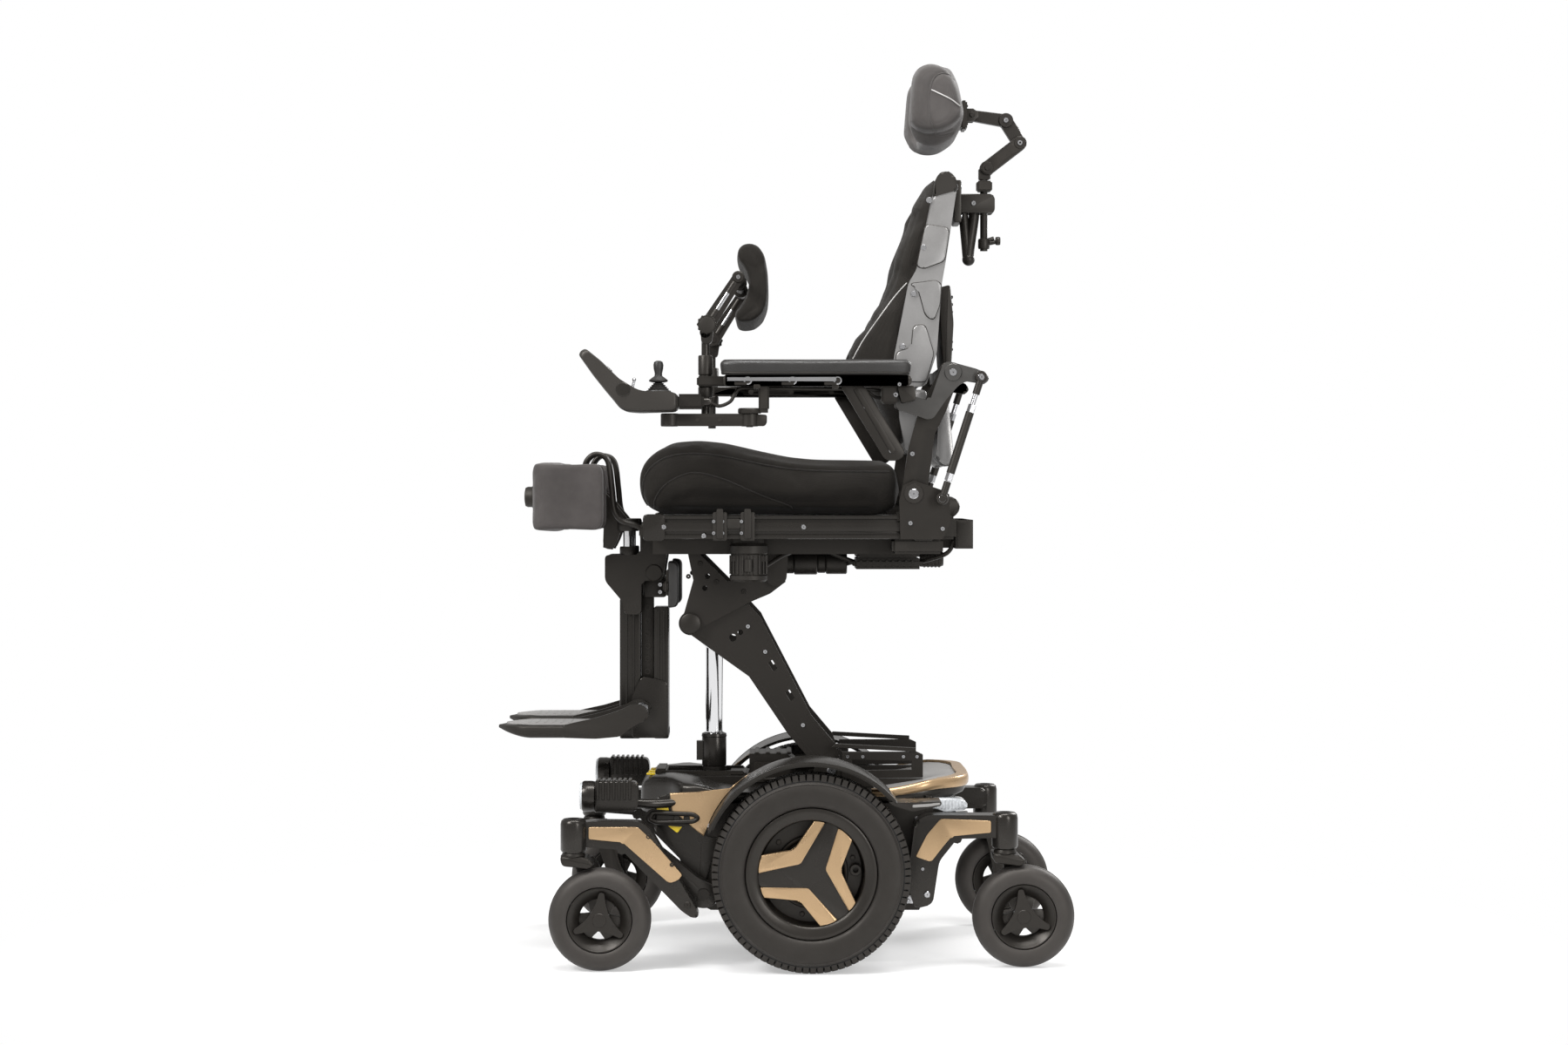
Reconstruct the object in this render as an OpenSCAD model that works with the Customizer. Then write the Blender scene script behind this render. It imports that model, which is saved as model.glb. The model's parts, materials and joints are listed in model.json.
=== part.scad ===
// Powered wheelchair with a raising, tilting and reclining seat.
// Millimetres, +Z up. The chair faces -X, and the user's left is -Y.
// The origin is on the floor, at the middle of the whole chair.

/* [Wheels] */
// Diameter of a drive wheel
drive_wheel_d = 356; // [350:1:358]
// Width of a drive tyre
drive_tyre_w = 75; // [70:1:75]
// Diameter of a caster wheel
caster_d = 184; // [176:1:186]
// Width of a caster wheel
caster_w = 50; // [40:1:50]

/* [Base] */
// Distance between the middles of the drive tyres
track = 580; // [578:1:590]
// Distance between the front swivel axes
front_caster_track = 550; // [548:1:556]
// Distance between the rear swivel axes
rear_caster_track = 470; // [466:1:474]
// Half the width of the chassis
chassis_half_w = 198; // [194:1:198]

/* [Seat] */
// Half the width of the seat cushion
cushion_half_w = 208; // [190:1:212]
// Half the width of an armrest pad
arm_pad_half_w = 25; // [20:1:25]

/* [Hidden] */
$fn = 64;

// Radial gap of every running fit
fit = 0.05;
LEFT = -1;
RIGHT = 1;

// Colours
black = "#22211f";
satin_black = "#2c2a28";
gold = "#c9a070";
steel = "#d8d8d8";
grey = "#a9a9a7";
cloth = "#2a2928";

// Pivots, each as [x, z]
drive_axle = [53, drive_wheel_d / 2];
front_swing = [-140, 130];
rear_swing = [254, 140];
lift_foot = [93, 341];
knee = [-168, 613];
actuator_foot = [-127, 180];
actuator_eye = [-128, 585];
tilt_pivot = [-10, 702];
recline_pivot = [238, 853];
arm_pivot = [308, 1071];
rod_foot = [288, 844];
rod_top = rod_foot + arm_pivot - recline_pivot;
chest_knob = [-134, 1157];
chest_bar = [-78, 1244];
head_knob_low = [389, 1468];
head_knob_mid = [450, 1515];
head_ball = [360, 1568];
leg_pivot = [-238, 705];
foot_pivot = [-261, 451];
knee_pivot = [-343, 847];
// Joystick pivots, as [x, y, z]
stick_pivot = [-220, -282, 1018];
swing_pivot = [-57, -281];
pod_pivot = [-200, -281];

// Swivel axis and wheel centre of the casters, as x only
front_swivel_x = -372;
front_wheel_x = -325;
rear_swivel_x = 403;
rear_wheel_x = 436;

// ---------- shared shapes ----------

// A flat plate: an outline in X and Z, from y0 to y1
module slab(outline, y0, y1)
    translate([0, y1, 0]) rotate([90, 0, 0]) linear_extrude(y1 - y0) polygon(outline);

// A round pin along Y at c = [x, z]
module pin(c, r, y0, y1)
    translate([c[0], y0, c[1]]) rotate([-90, 0, 0]) cylinder(r = r, h = y1 - y0);

// A round post along Z
module post(x, y, r, z0, z1) translate([x, y, z0]) cylinder(r = r, h = z1 - z0);

// A box from its lowest to its highest corner
module box(low, high) translate(low) cube(high - low);

// A round bar from a to b, each [x, y, z]
module bar(a, b, r) {
    d = b - a;
    translate(a)
        rotate([0, acos(d[2] / norm(d)), atan2(d[1], d[0])])
            cylinder(r = r, h = norm(d));
}

// A plate with round ends from p to q, each [x, z]
module link(p, q, rp, rq, y0, y1) {
    along = (q - p) / norm(q - p);
    side = [-along[1], along[0]];
    slab([p + side * rp, q + side * rq, q - side * rq, p - side * rp], y0, y1);
    pin(p, rp, y0, y1);
    pin(q, rq, y0, y1);
}

// Draws its children on one side: the children are written for the right, +Y
module on_side(side) {
    if (side == LEFT) mirror([0, 1, 0]) children();
    else children();
}

module both_sides() {
    children();
    mirror([0, 1, 0]) children();
}

// ---------- base ----------

// Slot in the front of the base, where the lift actuator swings
module actuator_slot() box([-221, -36, 150], [-96, 36, 420]);

module chassis() {
    shell = [[-190, 262], [-165, 190], [-150, 106], [-128, 96], [250, 96], [264, 118], [262, 290],
             [-190, 290]];
    inner_w = 150;
    color(black) {
        difference() {
            slab(shell, -chassis_half_w, chassis_half_w);
            box([-92, -inner_w, 110], [240, inner_w, 291]);
            actuator_slot();
            both_sides() pin(drive_axle, 45 + fit, inner_w - 1, chassis_half_w + 1);
        }
        pin(actuator_foot, 9, -36, 36);
        both_sides() {
            pin(front_swing, 11, chassis_half_w, 246);
            pin(rear_swing, 11, chassis_half_w, 248);
            tie_down_eye(-176);
        }
    }
}

// A flat loop that a transport strap hooks into
module tie_down_eye(x) {
    difference() {
        link([x - 58, 266], [x, 262], 14, 14, chassis_half_w, chassis_half_w + 8);
        pin([x - 58, 266], 8, chassis_half_w - 1, chassis_half_w + 9);
    }
}

module batteries() {
    color("#3a3a3c") {
        box([-88, -140, 112], [70, 140, 276]);
        box([76, -140, 112], [234, 140, 276]);
    }
}

module drive_motors() {
    color(satin_black) both_sides() {
        pin(drive_axle, 45, 144, 249);
        pin(drive_axle, 12, 249, 299);
    }
}

module top_shroud() {
    top = [[-262, 258], [-192, 258], [-192, 291], [300, 291], [338, 300], [345, 320], [312, 346],
           [262, 348], [190, 330], [150, 312], [-100, 312], [-150, 326], [-200, 331], [-240, 329],
           [-258, 310]];
    plan = [[-262, 90], [-200, 150], [-190, 196], [262, 196], [330, 150], [345, 90],
            [345, -90], [330, -150], [262, -196], [-190, -196], [-200, -150], [-262, -90]];
    color(black) {
        difference() {
            intersection() {
                slab(top, -196, 196);
                translate([0, 0, 200]) linear_extrude(200) polygon(plan);
            }
            actuator_slot();
            // seats of the lift base
            both_sides() {
                box([108, 98, 311.9], [265, 132, 400]);
                box([-178, 39, 312.5], [-58, 73, 400]);
            }
        }
        both_sides() fender();
    }
}

// The arch over a drive wheel
module fender() {
    r = 199;
    thick = 6;
    inner_y = 196;
    outer_y = 327;
    // wedge from 40 to 158 degrees, seen from the axle
    wedge = [drive_axle, drive_axle + 320 * [cos(40), sin(40)], drive_axle + [60, 320],
             drive_axle + [-160, 320], drive_axle + 320 * [cos(158), sin(158)]];
    intersection() {
        difference() {
            pin(drive_axle, r, inner_y, outer_y);
            pin(drive_axle, r - thick, inner_y - 1, outer_y + 1);
        }
        slab(wedge, inner_y - 1, outer_y + 1);
        // clear of the chassis side
        difference() {
            box([-200, inner_y - 1, 178], [260, outer_y + 1, 400]);
            box([-210, inner_y - 2, 170], [270, chassis_half_w + 0.2, 290.4]);
        }
    }
}

module gold_panels() {
    side_panel = [[-200, 309], [-91, 313], [-54, 341], [-100, 228], [-137, 228], [-200, 276]];
    rear_rim = [[168, 326], [345, 321], [330, 338], [312, 350], [262, 356], [215, 345]];
    color(gold) both_sides() {
        difference() {
            union() {
                slab(side_panel, 198.2, 205);
                slab(rear_rim, 196.5, 203);
            }
            pin(drive_axle, 200, 190, 210);
            // clearance round the tie-down eye
            link([-234, 266], [-176, 262], 15, 15, 190, 210);
        }
    }
}

module headlights() {
    color(satin_black) both_sides() {
        // finned housing
        box([-338, 198, 276], [-263, 236, 334]);
        for (i = [0:5]) box([-330 + i * 11, 196, 334], [-325 + i * 11, 236, 339]);
        // lens ring
        translate([-360, 217, 305]) rotate([0, 90, 0]) cylinder(r = 27, h = 22);
        // stalk back to the shroud
        box([-263, 206, 286], [-201.5, 220, 300]);
        box([-215, 148.8, 286], [-201.5, 206, 300]);
    }
}

module lift_base() {
    cheek = [[52, 312], [134, 312], [126, 348], [104, 364], [82, 364], [62, 348]];
    rear_bar = [[92, 385], [100, 392], [248, 384], [248, 377]];
    plate = [[112, 327], [261, 330], [261, 372], [250, 377], [112, 377]];
    slot = [[130, 342], [240, 344], [240, 360], [130, 362]];
    // bevelled at the rear, where the arm's spreader tube comes down
    motor_cover = [[-60, 312], [26, 312], [26, 352], [10, 366], [-60, 366]];
    color(satin_black) {
        both_sides() {
            slab(cheek, 108.5, 121);
            difference() {
                union() {
                    slab(plate, 121, 128);
                    box([112, 104, 312], [261, 128, 327.5]);
                }
                slab(slot, 120, 129);
            }
            slab(rear_bar, 121, 130);
            slab([[-176, 313], [-60, 313], [-60, 326], [-176, 326]], 40, 72);
        }
        pin(lift_foot, 9, -121, 121);
        slab(motor_cover, -50, 50);
    }
}

// ---------- drive wheels ----------

module drive_tyre(side) {
    r = drive_wheel_d / 2;
    h = drive_tyre_w / 2;
    bead = 118;
    profile = [[bead, -h + 8], [140, -h], [r - 14, -h], [r - 3, -h + 9], [r, -h + 24],
               [r, h - 24], [r - 3, h - 9], [r - 14, h], [140, h], [bead, h - 8]];
    color(black) on_side(side)
        translate([drive_axle[0], track / 2, drive_axle[1]]) rotate([-90, 0, 0])
            rotate_extrude($fn = 128) polygon(profile);
}

module drive_rim(side) {
    mid = track / 2;
    spoke_angles = [65, 185, 305];
    color(satin_black) on_side(side) difference() {
        union() {
            difference() {
                pin(drive_axle, 118, mid - 28, mid + 28);
                pin(drive_axle, 104, mid - 29, mid + 29);
            }
            difference() {
                pin(drive_axle, 32, mid - 30, mid + 18);
                pin(drive_axle, 12 + fit, mid - 31, 301);
            }
            difference() {
                pin(drive_axle, 105, mid - 6, mid + 2);
                pin(drive_axle, 30, mid - 7, mid + 3);
            }
            for (a = spoke_angles)
                translate([drive_axle[0], 0, drive_axle[1]]) rotate([0, -a, 0])
                    box([26, mid, -15], [106, mid + 16, 15]);
        }
    }
}

// ---------- casters ----------

// The suspension arm of a front caster, with its swivel housing
module front_arm(side) {
    y = front_caster_track / 2;
    outer = [[-372, 267], [-247, 266], [-146, 100], [-150, 94], [-162, 94], [-284, 216],
             [-372, 222]];
    inner = [[-250, 240], [-200, 200], [-150, 160], [-118, 146], [-118, 112], [-140, 104], [-165, 112],
             [-250, 190]];
    color(black) on_side(side) difference() {
        union() {
            slab(outer, 240, 280);
            slab(inner, 208, 246);
            post(front_swivel_x, y, 20, 212, 270);
        }
        post(front_swivel_x, y, 10 + fit, 200, 264);
        pin(front_swing, 11 + fit, 200, 250);
    }
}

// The suspension arm of a rear caster, with its swivel housing
module rear_arm(side) {
    y = rear_caster_track / 2;
    outline = [[240, 268], [262, 276], [403, 274], [403, 232], [310, 232], [276, 188], [270, 112],
               [238, 108]];
    color(black) on_side(side) difference() {
        union() {
            slab(outline, 205, 250);
            post(rear_swivel_x, y, 20, 214, 277);
        }
        post(rear_swivel_x, y, 10 + fit, 200, 270);
        pin(rear_swing, 11 + fit, 200, 252);
    }
}

// A one-legged fork: its leg is on the inner side of the wheel
module fork(side, swivel_x, wheel_x, y, stem_top) {
    axle = [wheel_x, caster_d / 2];
    leg_y0 = y - caster_w / 2 - 14;
    leg_y1 = y - caster_w / 2 - 4;
    crown = [[swivel_x - 22, 207], [swivel_x + 24, 203], [swivel_x + 36, 190],
             [swivel_x - 18, 190]];
    color(satin_black) on_side(side) {
        post(swivel_x, y, 10, 200, stem_top);
        slab(crown, leg_y0, y + 18);
        link([swivel_x + 10, 194], axle, 13, 15, leg_y0, leg_y1);
        pin(axle, 6, leg_y1, y + caster_w / 2 - 4);
    }
}

module caster_wheel(side, wheel_x, y) {
    r = caster_d / 2;
    h = caster_w / 2;
    profile = [[6 + fit, -h + 3], [20, -h + 3], [22, -8], [54, -8], [58, -h + 4], [74, -h], [r - 7, -h + 5],
               [r, -9], [r, 9], [r - 7, h - 5], [74, h], [58, h - 4], [54, 8], [22, 8], [20, h - 3],
               [6 + fit, h - 3]];
    color(black) on_side(side)
        translate([wheel_x, y, r]) rotate([-90, 0, 0]) rotate_extrude($fn = 96) polygon(profile);
}

module front_fork(side) fork(side, front_swivel_x, front_wheel_x, front_caster_track / 2, 262);
module rear_fork(side) fork(side, rear_swivel_x, rear_wheel_x, rear_caster_track / 2, 268);
module front_wheel(side) caster_wheel(side, front_wheel_x, front_caster_track / 2);
module rear_wheel(side) caster_wheel(side, rear_wheel_x, rear_caster_track / 2);

// ---------- lift ----------

// A slanted rectangular window in the lift arm, centred on c = [x, z]
function window(c) = [c + [-9, 5], c + [-1, 11], c + [9, -5], c + [1, -11]];

module lift_arm() {
    y0 = 95;
    y1 = 103;
    cheek = [[-173, 595], [-137, 569], [-60, 514], [11, 409], [70, 341], [113, 351], [98, 392],
             [55, 443], [-23, 592], [-39, 624], [-61, 648], [-97, 640], [-150, 606]];
    color(satin_black) {
        both_sides() difference() {
            union() {
                slab(cheek, y0, y1);
                pin(lift_foot, 24, y0, y1);
                pin(knee, 21, y0, y1);
            }
            pin(lift_foot, 9 + fit, y0 - 1, y1 + 1);
            pin(knee, 9 + fit, y0 - 1, y1 + 1);
            // lightening holes and slots
            pin([-90, 586], 7, y0 - 1, y1 + 1);
            pin([-76, 596], 5, y0 - 1, y1 + 1);
            for (c = [[-16, 534], [16, 479]]) slab(window(c), y0 - 1, y1 + 1);
        }
        // spreader tubes between the two plates, and the pin that the actuator pushes
        pin([-52, 602], 9, -y0 - 4, y0 + 4);
        pin([52, 400], 12, -y0 - 4, y0 + 4);
        pin(actuator_eye, 7, -y0 - 4, y0 + 4);
    }
}

module lift_bracket() {
    y0 = 104;
    y1 = 112;
    cheek = [[-184, 618], [-150, 604], [-61, 651], [-21, 668], [8, 690], [-14, 716], [-100, 690],
             [-152, 742], [-173, 742], [-163, 693]];
    color(satin_black) {
        both_sides() difference() {
            union() {
                slab(cheek, y0, y1);
                pin(knee, 22, y0, y1);
                pin(tilt_pivot, 20, y0, y1);
            }
            pin(tilt_pivot, 8 + fit, y0 - 1, y1 + 1);
            pin([-137, 700], 5, y0 - 1, y1 + 1);
            pin([-142, 678], 5, y0 - 1, y1 + 1);
        }
        pin(knee, 9, -116, 116);
        both_sides() pin(knee, 14, 112, 117);
        pin([-160, 728], 8, -y0, y0);
    }
}

module lift_tube() {
    color(satin_black) difference() {
        union() {
            post(actuator_foot[0], 0, 20, actuator_foot[1] - 16, 380);
            post(actuator_foot[0], 0, 23, 340, 396);
            pin(actuator_foot, 20, -20, 20);
            box([-160, -9, 350], [-148, 9, 386]);
        }
        post(actuator_foot[0], 0, 16.5 + fit, 205, 400);
        pin(actuator_foot, 9 + fit, -30, 30);
    }
}

module lift_rod() {
    color(steel) {
        post(actuator_foot[0], 0, 16.5, 345, 562);
        difference() {
            pin(actuator_eye, 25, -16, 16);
            pin(actuator_eye, 15, -17, 17);
        }
    }
}

// ---------- seat ----------

rail_holes = [-123, 86, 162, 213];

module seat_rails() {
    y0 = 215;
    y1 = 240;
    low = 771;
    high = 814;
    outline = [[-240, low + 6], [-232, low], [262, low], [272, low + 8], [272, high - 8],
               [262, high], [-240, high], [-247, high - 8], [-247, low + 14]];
    color(satin_black) both_sides() difference() {
        slab(outline, y0, y1);
        box([-250, y1 - 4, 780], [275, y1 + 1, 784]);
        box([-250, y1 - 4, 803], [275, y1 + 1, 807]);
        for (x = rail_holes) pin([x, 793.5], 4, y0 - 1, y1 + 1);
    }
}

module seat_frame() {
    // plate that carries the recline pin and the foot of a levelling rod
    ear = [[214, 771], [290, 771], [304, 800], [302, 852], [288, 860], [238, 877], [218, 868],
           [212, 840]];
    tilt_ear = [[-34, 771], [14, 771], [10, 702], [-30, 702]];
    color(satin_black) {
        box([-236, -214.9, 800], [226, 214.9, 812]);
        box([-236, -214.9, 772], [-216, 214.9, 800]);
        box([206, -214.9, 772], [226, 214.9, 800]);
        both_sides() {
            box([-34, 113.5, 770], [14, 121, 800]);
            // beam under the seat pan
            box([-236, 123, 742], [226, 152, 772]);
            slab(tilt_ear, 113.5, 121);
            pin(tilt_pivot, 20, 113.5, 121);
            pin(tilt_pivot, 8, 103.6, 121);
            slab(ear, 240, 248);
            pin(recline_pivot, 8, 222, 248);
            pin(rod_foot, 6, 248, 276);
            box([226, 96, 776], [322, 120, 796]);
        }
        box([320, -148, 752], [352, 148, 805]);
        box([282, -80, 752], [320, 80, 774]);
    }
}

module seat_cushion() {
    outline = [[-268, 862], [-266, 888], [-255, 911], [-232, 933], [-200, 943], [-153, 946],
               [-106, 940], [-43, 925], [12, 913], [60, 910], [196, 908], [205, 895], [205, 822],
               [195, 816], [-240, 818], [-260, 832]];
    color(cloth) slab(outline, -cushion_half_w, cushion_half_w);
}

module power_modules() {
    color(black) {
        // tilt actuator housing under the seat pan
        box([24, -34, 744], [68, 34, 799]);
        translate([24, 0, 722]) rotate([0, 90, 0]) cylinder(r = 22, h = 100);
        // control box
        box([136, -70, 714], [262, 70, 744]);
        box([150, -60, 744], [205.5, 60, 799.5]);
        translate([262, 0, 730]) rotate([0, 90, 0]) cylinder(r = 15, h = 43);
        // seat lift control unit on the near side
        translate([-60, -190, 694]) cylinder(r = 34, h = 68);
        box([-90, -206, 762], [-30, -170, 799.5]);
        // backrest actuator cover
        box([236, -60, 806], [252, 60, 826]);
        pin([312, 826], 22, -60, 60);
        box([252, -60, 806], [312, 60, 826]);
    }
}

// Receivers for the knee supports, and the clevis that carries the legrest
module leg_receivers() {
    y0 = 32;
    y1 = 58;
    receiver = [[-328, 738], [-328, 690], [-296, 652], [-291, 628], [-262, 628], [-262, 690],
                [-222, 690], [-216, 745], [-216, 770], [-237.5, 770], [-237.5, 797], [-264, 797],
                [-264, 738]];
    color(satin_black) {
        both_sides() difference() {
            slab(receiver, y0, y1);
            post(-287, 45, 9.5 + fit, 640, 750);
        }
        pin(leg_pivot, 8, -y0 - 6, y0 + 6);
        // mounting bar along the front of the seat frame
        box([-261, -140, 774], [-240, 140, 791]);
        for (y = [-122, -88, 80, 114]) guard_rod(y);
    }
}

// One guard rod: up from the mounting bar and over in a crook
module guard_rod(y) {
    thick = 8;
    crook = [-341, 900];
    slab([[-256, 776], [-256, 784], [-304, 806], [-315, 902], [-321, 902], [-312, 799]],
         y, y + thick);
    slab([[-367, 902], [-361, 902], [-353, 885], [-359, 882]], y, y + thick);
    intersection() {
        difference() {
            pin(crook, 27, y, y + thick);
            pin(crook, 19, y - 1, y + thick + 1);
        }
        box([-370, y - 1, 900], [-312, y + thick + 1, 930]);
    }
}

// ---------- back ----------

module back_frame() {
    y0 = 226;
    y1 = 238;
    cane = [[218, 853], [228, 930], [246, 990], [290, 1088], [326, 1078], [296, 1000], [276, 960],
            [262, 845]];
    color(satin_black) {
        both_sides() {
            difference() {
                union() {
                    slab(cane, y0, y1);
                    pin(recline_pivot, 21, y0, y1);
                    pin(arm_pivot, 18, y0, y1);
                }
                pin(recline_pivot, 8 + fit, y0 - 1, y1 + 1);
            }
            pin(arm_pivot, 7, y1, 262);
        }
        // cross bars that carry the shell
        box([262, -y0, 960], [276, y0, 984]);
        box([292, -y0, 1066], [306, y0, 1086]);
        // headrest mount: plate, stand-offs and the hook tube
        box([325, -40, 1364], [336, 40, 1440]);
        difference() {
            box([336, -22, 1384], [398, 22, 1416]);
            post(383, 0, 7 + fit, 1380, 1420);
        }
        bar([344, 0, 1384], [352, 0, 1296], 9);
        translate([352, 0, 1296]) sphere(10);
    }
}

module back_shell() {
    upper = [[282, 1400], [250, 1262], [234, 1237], [207, 1099], [203, 1050], [262, 1050],
             [282, 1110], [291, 1234], [298, 1273], [318, 1400], [310, 1438], [290, 1438]];
    lower = [[208, 1044], [262, 1044], [276, 1094], [276, 1049], [262, 990], [240, 990]];
    color(grey) {
        difference() {
            slab(upper, -206, 206);
            // the cushion sits in this tray
            slab([[275, 1398], [243, 1262], [227, 1237], [200, 1099], [196, 1040], [246, 1040],
                  [262, 1110], [272, 1234], [280, 1273], [304, 1398], [306, 1445], [260, 1445]],
                 -188, 188);
            both_sides() box([200, 206, 1000], [330, 240, 1100]);
            box([288, -207, 1040], [310, 207, 1090]);
        }
        both_sides() {
            slab([[225, 930], [258, 930], [258, 1042], [214, 1042]], 196, 206);
            slab([[280, 918], [300, 900], [318, 905], [300, 1040], [282, 1040]], 84, 190);
        }
    }
    color(black) slab([[300, 1100], [322, 1094], [312, 1240], [302, 1240]], -90, 90);
}

module back_cushion() {
    outline = [[272, 1440], [256, 1408], [238, 1380], [206, 1263], [194, 1227], [161, 1179],
               [125, 1128], [114, 1096], [150, 1050], [186, 1010], [192, 926], [222, 926],
               [240, 1040], [254, 1110], [266, 1234], [276, 1273], [298, 1398], [286, 1442]];
    color(cloth) slab(outline, -186, 186);
}

module level_rods() {
    y0 = 263.5;
    y1 = 274;
    mid = (y0 + y1) / 2;
    low = rod_foot + 0.2 * (rod_top - rod_foot);
    high = rod_foot + 0.8 * (rod_top - rod_foot);
    color(satin_black) both_sides() difference() {
        union() {
            pin(rod_foot, 11, y0, y1);
            pin(rod_top, 11, y0, y1);
            bar([rod_foot[0], mid, rod_foot[1]], [rod_top[0], mid, rod_top[1]], 4.5);
            bar([low[0], mid, low[1]], [high[0], mid, high[1]], 6.5);
        }
        pin(rod_foot, 6 + fit, y0 - 1, y1 + 1);
        pin(rod_top, 6 + fit, y0 - 1, y1 + 1);
    }
}

// ---------- arms ----------

module armrest_frames() {
    lever = [[204, 1008], [210, 1034], [252, 1024], [268, 1021], [290, 1084], [300, 1090],
             [348, 1078], [366, 1071], [372, 1060], [364, 1050], [332, 1055], [318, 1048],
             [294, 1020], [272, 990], [262, 987], [246, 993]];
    stay = [[112, 1046], [142, 1046], [214, 926], [206, 914], [188, 914]];
    color(grey) {
        both_sides() {
            difference() {
                union() {
                    slab(lever, 250, 262);
                    pin(rod_top, 11, 250, 262);
                }
                pin(arm_pivot, 7 + fit, 249, 263);
            }
            pin(rod_top, 6, 262, 275.5);
            box([180, 254, 1016], [206, 285, 1046]);
            slab(stay, 277, 285);
            difference() {
                box([-100, 262, 1045], [226, 298, 1065]);
                for (x = [-60, 20, 100]) pin([x, 1055], 5, 261, 299);
            }
            // receiver of the chest support
            difference() {
                union() {
                    box([-150, 236, 1048], [-88, 264, 1062]);
                    post(-137, 246, 11, 1030, 1100);
                }
                post(-137, 246, 7 + fit, 1020, 1110);
            }
        }
        // joystick hanger under the left arm
        box([-39, -291, 1000], [-24, -271, 1045]);
        box([-57, -291, 998], [-24, -271, 1004]);
        post(swing_pivot[0], swing_pivot[1], 20, 998, 1004);
        post(swing_pivot[0], swing_pivot[1], 6, 972, 998);
    }
}

module armrest_pads() {
    y = 280;
    color(cloth) both_sides() {
        box([-111 + arm_pad_half_w, y - arm_pad_half_w, 1066],
            [233 - arm_pad_half_w, y + arm_pad_half_w, 1093]);
        post(-111 + arm_pad_half_w, y, arm_pad_half_w, 1066, 1093);
        post(233 - arm_pad_half_w, y, arm_pad_half_w, 1066, 1093);
    }
}

// ---------- chest support ----------

module chest_uprights() {
    color(satin_black) both_sides() {
        post(-137, 246, 7, 984, 1146);
        link([-137, 1143], chest_knob, 10, 13, 236.5, 255);
        pin(chest_knob, 6, 221, 236.5);
        pin(chest_knob, 16, 255, 266);
    }
}

module chest_arms() {
    color(satin_black) {
        both_sides() difference() {
            link(chest_knob, chest_bar, 13, 10, 223, 235);
            pin(chest_knob, 6 + fit, 222, 237);
        }
        pin(chest_bar, 8, -223, 223);
    }
}

module chest_pad() {
    outline = [[-84, 1316], [-60, 1324], [-46, 1318], [-35, 1293], [-27, 1258], [-26, 1238],
               [-30, 1204], [-41, 1187], [-64, 1168], [-92, 1170], [-90, 1187], [-76, 1202],
               [-60, 1217], [-57, 1244], [-62, 1270], [-74, 1291]];
    color(cloth) difference() {
        union() {
            slab(outline, -150, 150);
            for (y = [-100, 84]) link(chest_bar, [-50, 1244], 14, 12, y, y + 16);
        }
        pin(chest_bar, 8 + fit, -151, 151);
    }
}

// ---------- headrest ----------

module head_post() {
    color(satin_black) {
        post(383, 0, 7, 1312, 1460);
        box([371, -13, 1426], [396, 13, 1442]);
        box([373, -8, 1448], [395, 8, 1466]);
        pin(head_knob_low, 13, -8, 8);
        pin(head_knob_low, 5, -20, 20);
        bar([383, 0, 1330], [402, 0, 1336], 4);
    }
}

module head_link_low() {
    color(satin_black) {
        both_sides() difference() {
            link(head_knob_low, head_knob_mid, 13, 13, 8.5, 15);
            pin(head_knob_low, 5 + fit, 8, 16);
        }
        pin(head_knob_mid, 5, -15, 15);
    }
}

module head_link_high() {
    elbow = [424, 1558];
    color(satin_black) difference() {
        union() {
            link(head_knob_mid, elbow, 12, 13, -8, 8);
            link(elbow, head_ball, 12, 10, -8, 8);
        }
        pin(head_knob_mid, 5 + fit, -9, 9);
        pin(head_ball, 5 + fit, -9, 9);
    }
}

module headrest_pad() {
    outline = [[238, 1628], [250, 1649], [274, 1660], [303, 1652], [328, 1614], [339, 1577],
               [341, 1545], [322, 1506], [289, 1483], [259, 1482], [236, 1494], [228, 1518],
               [231, 1560]];
    color("#4a4745") {
        difference() {
            slab(outline, -125, 125);
            slab([[200, 1480], [268, 1480], [290, 1520], [296, 1600], [286, 1670], [200, 1670]],
                 -84, 84);
        }
        box([344.5, -24, 1540], [350, 24, 1592]);
        box([328, -20, 1550], [346, 20, 1580]);
        both_sides() slab([[346, 1556], [362, 1558], [370, 1568], [362, 1578], [346, 1580]], 9, 14);
        pin(head_ball, 5, -14, 14);
    }
}

// ---------- legrest ----------

module legrest_head() {
    half = 29;
    rear_column = [[-240.5, 500], [-214, 500], [-214, 672], [-240.5, 672]];
    color(satin_black) difference() {
        union() {
            pin(leg_pivot, 14, -31, 31);
            slab([[-250, 704], [-226, 704], [-217, 690], [-217, 660], [-258, 660], [-258, 690]],
                 -half, half);
            // index plate with a row of holes
            box([-263, -13, 424], [-241, 13, 662]);
            box([-217.5, -120, 673], [-211, 120, 689]);
        }
        pin(leg_pivot, 8 + fit, -32, 32);
        for (z = [478:22:610]) pin([-252, z], 3, -14, 14);
    }
}

module calf_pads() {
    color(cloth) both_sides() box([-211, 64, 640], [-190, 124, 730]);
}

module legrest_pole() {
    half = 29;
    color(satin_black) {
        // front and rear columns, joined by the block at the foot
        box([-303, -half, 392], [-264, half, 656]);
        box([-240, -half, 392], [-213, half, 640]);
        box([-303, -half, 392], [-213, half, 416]);
        both_sides() {
            box([-280, half, 392], [-216, half + 6, 500]);
            pin(foot_pivot, 6, half + 6, half + 18);
        }
    }
}

module footplate(side) {
    y0 = 36;
    arm = [[-400, 426], [-382, 430], [-315, 449], [-274, 466], [-250, 458], [-252, 440], [-296, 408],
           [-340, 406], [-400, 408]];
    plate = [[-522, 424], [-512, 430], [-382, 430], [-320, 434], [-318, 414], [-330, 406],
             [-494, 406]];
    color(black) on_side(side) difference() {
        union() {
            slab(plate, y0, 165);
            slab(arm, y0, y0 + 10);
            slab(arm, 155, 165);
            pin(foot_pivot, 15, y0, y0 + 10);
        }
        pin(foot_pivot, 6 + fit, y0 - 1, y0 + 11);
    }
}

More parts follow.
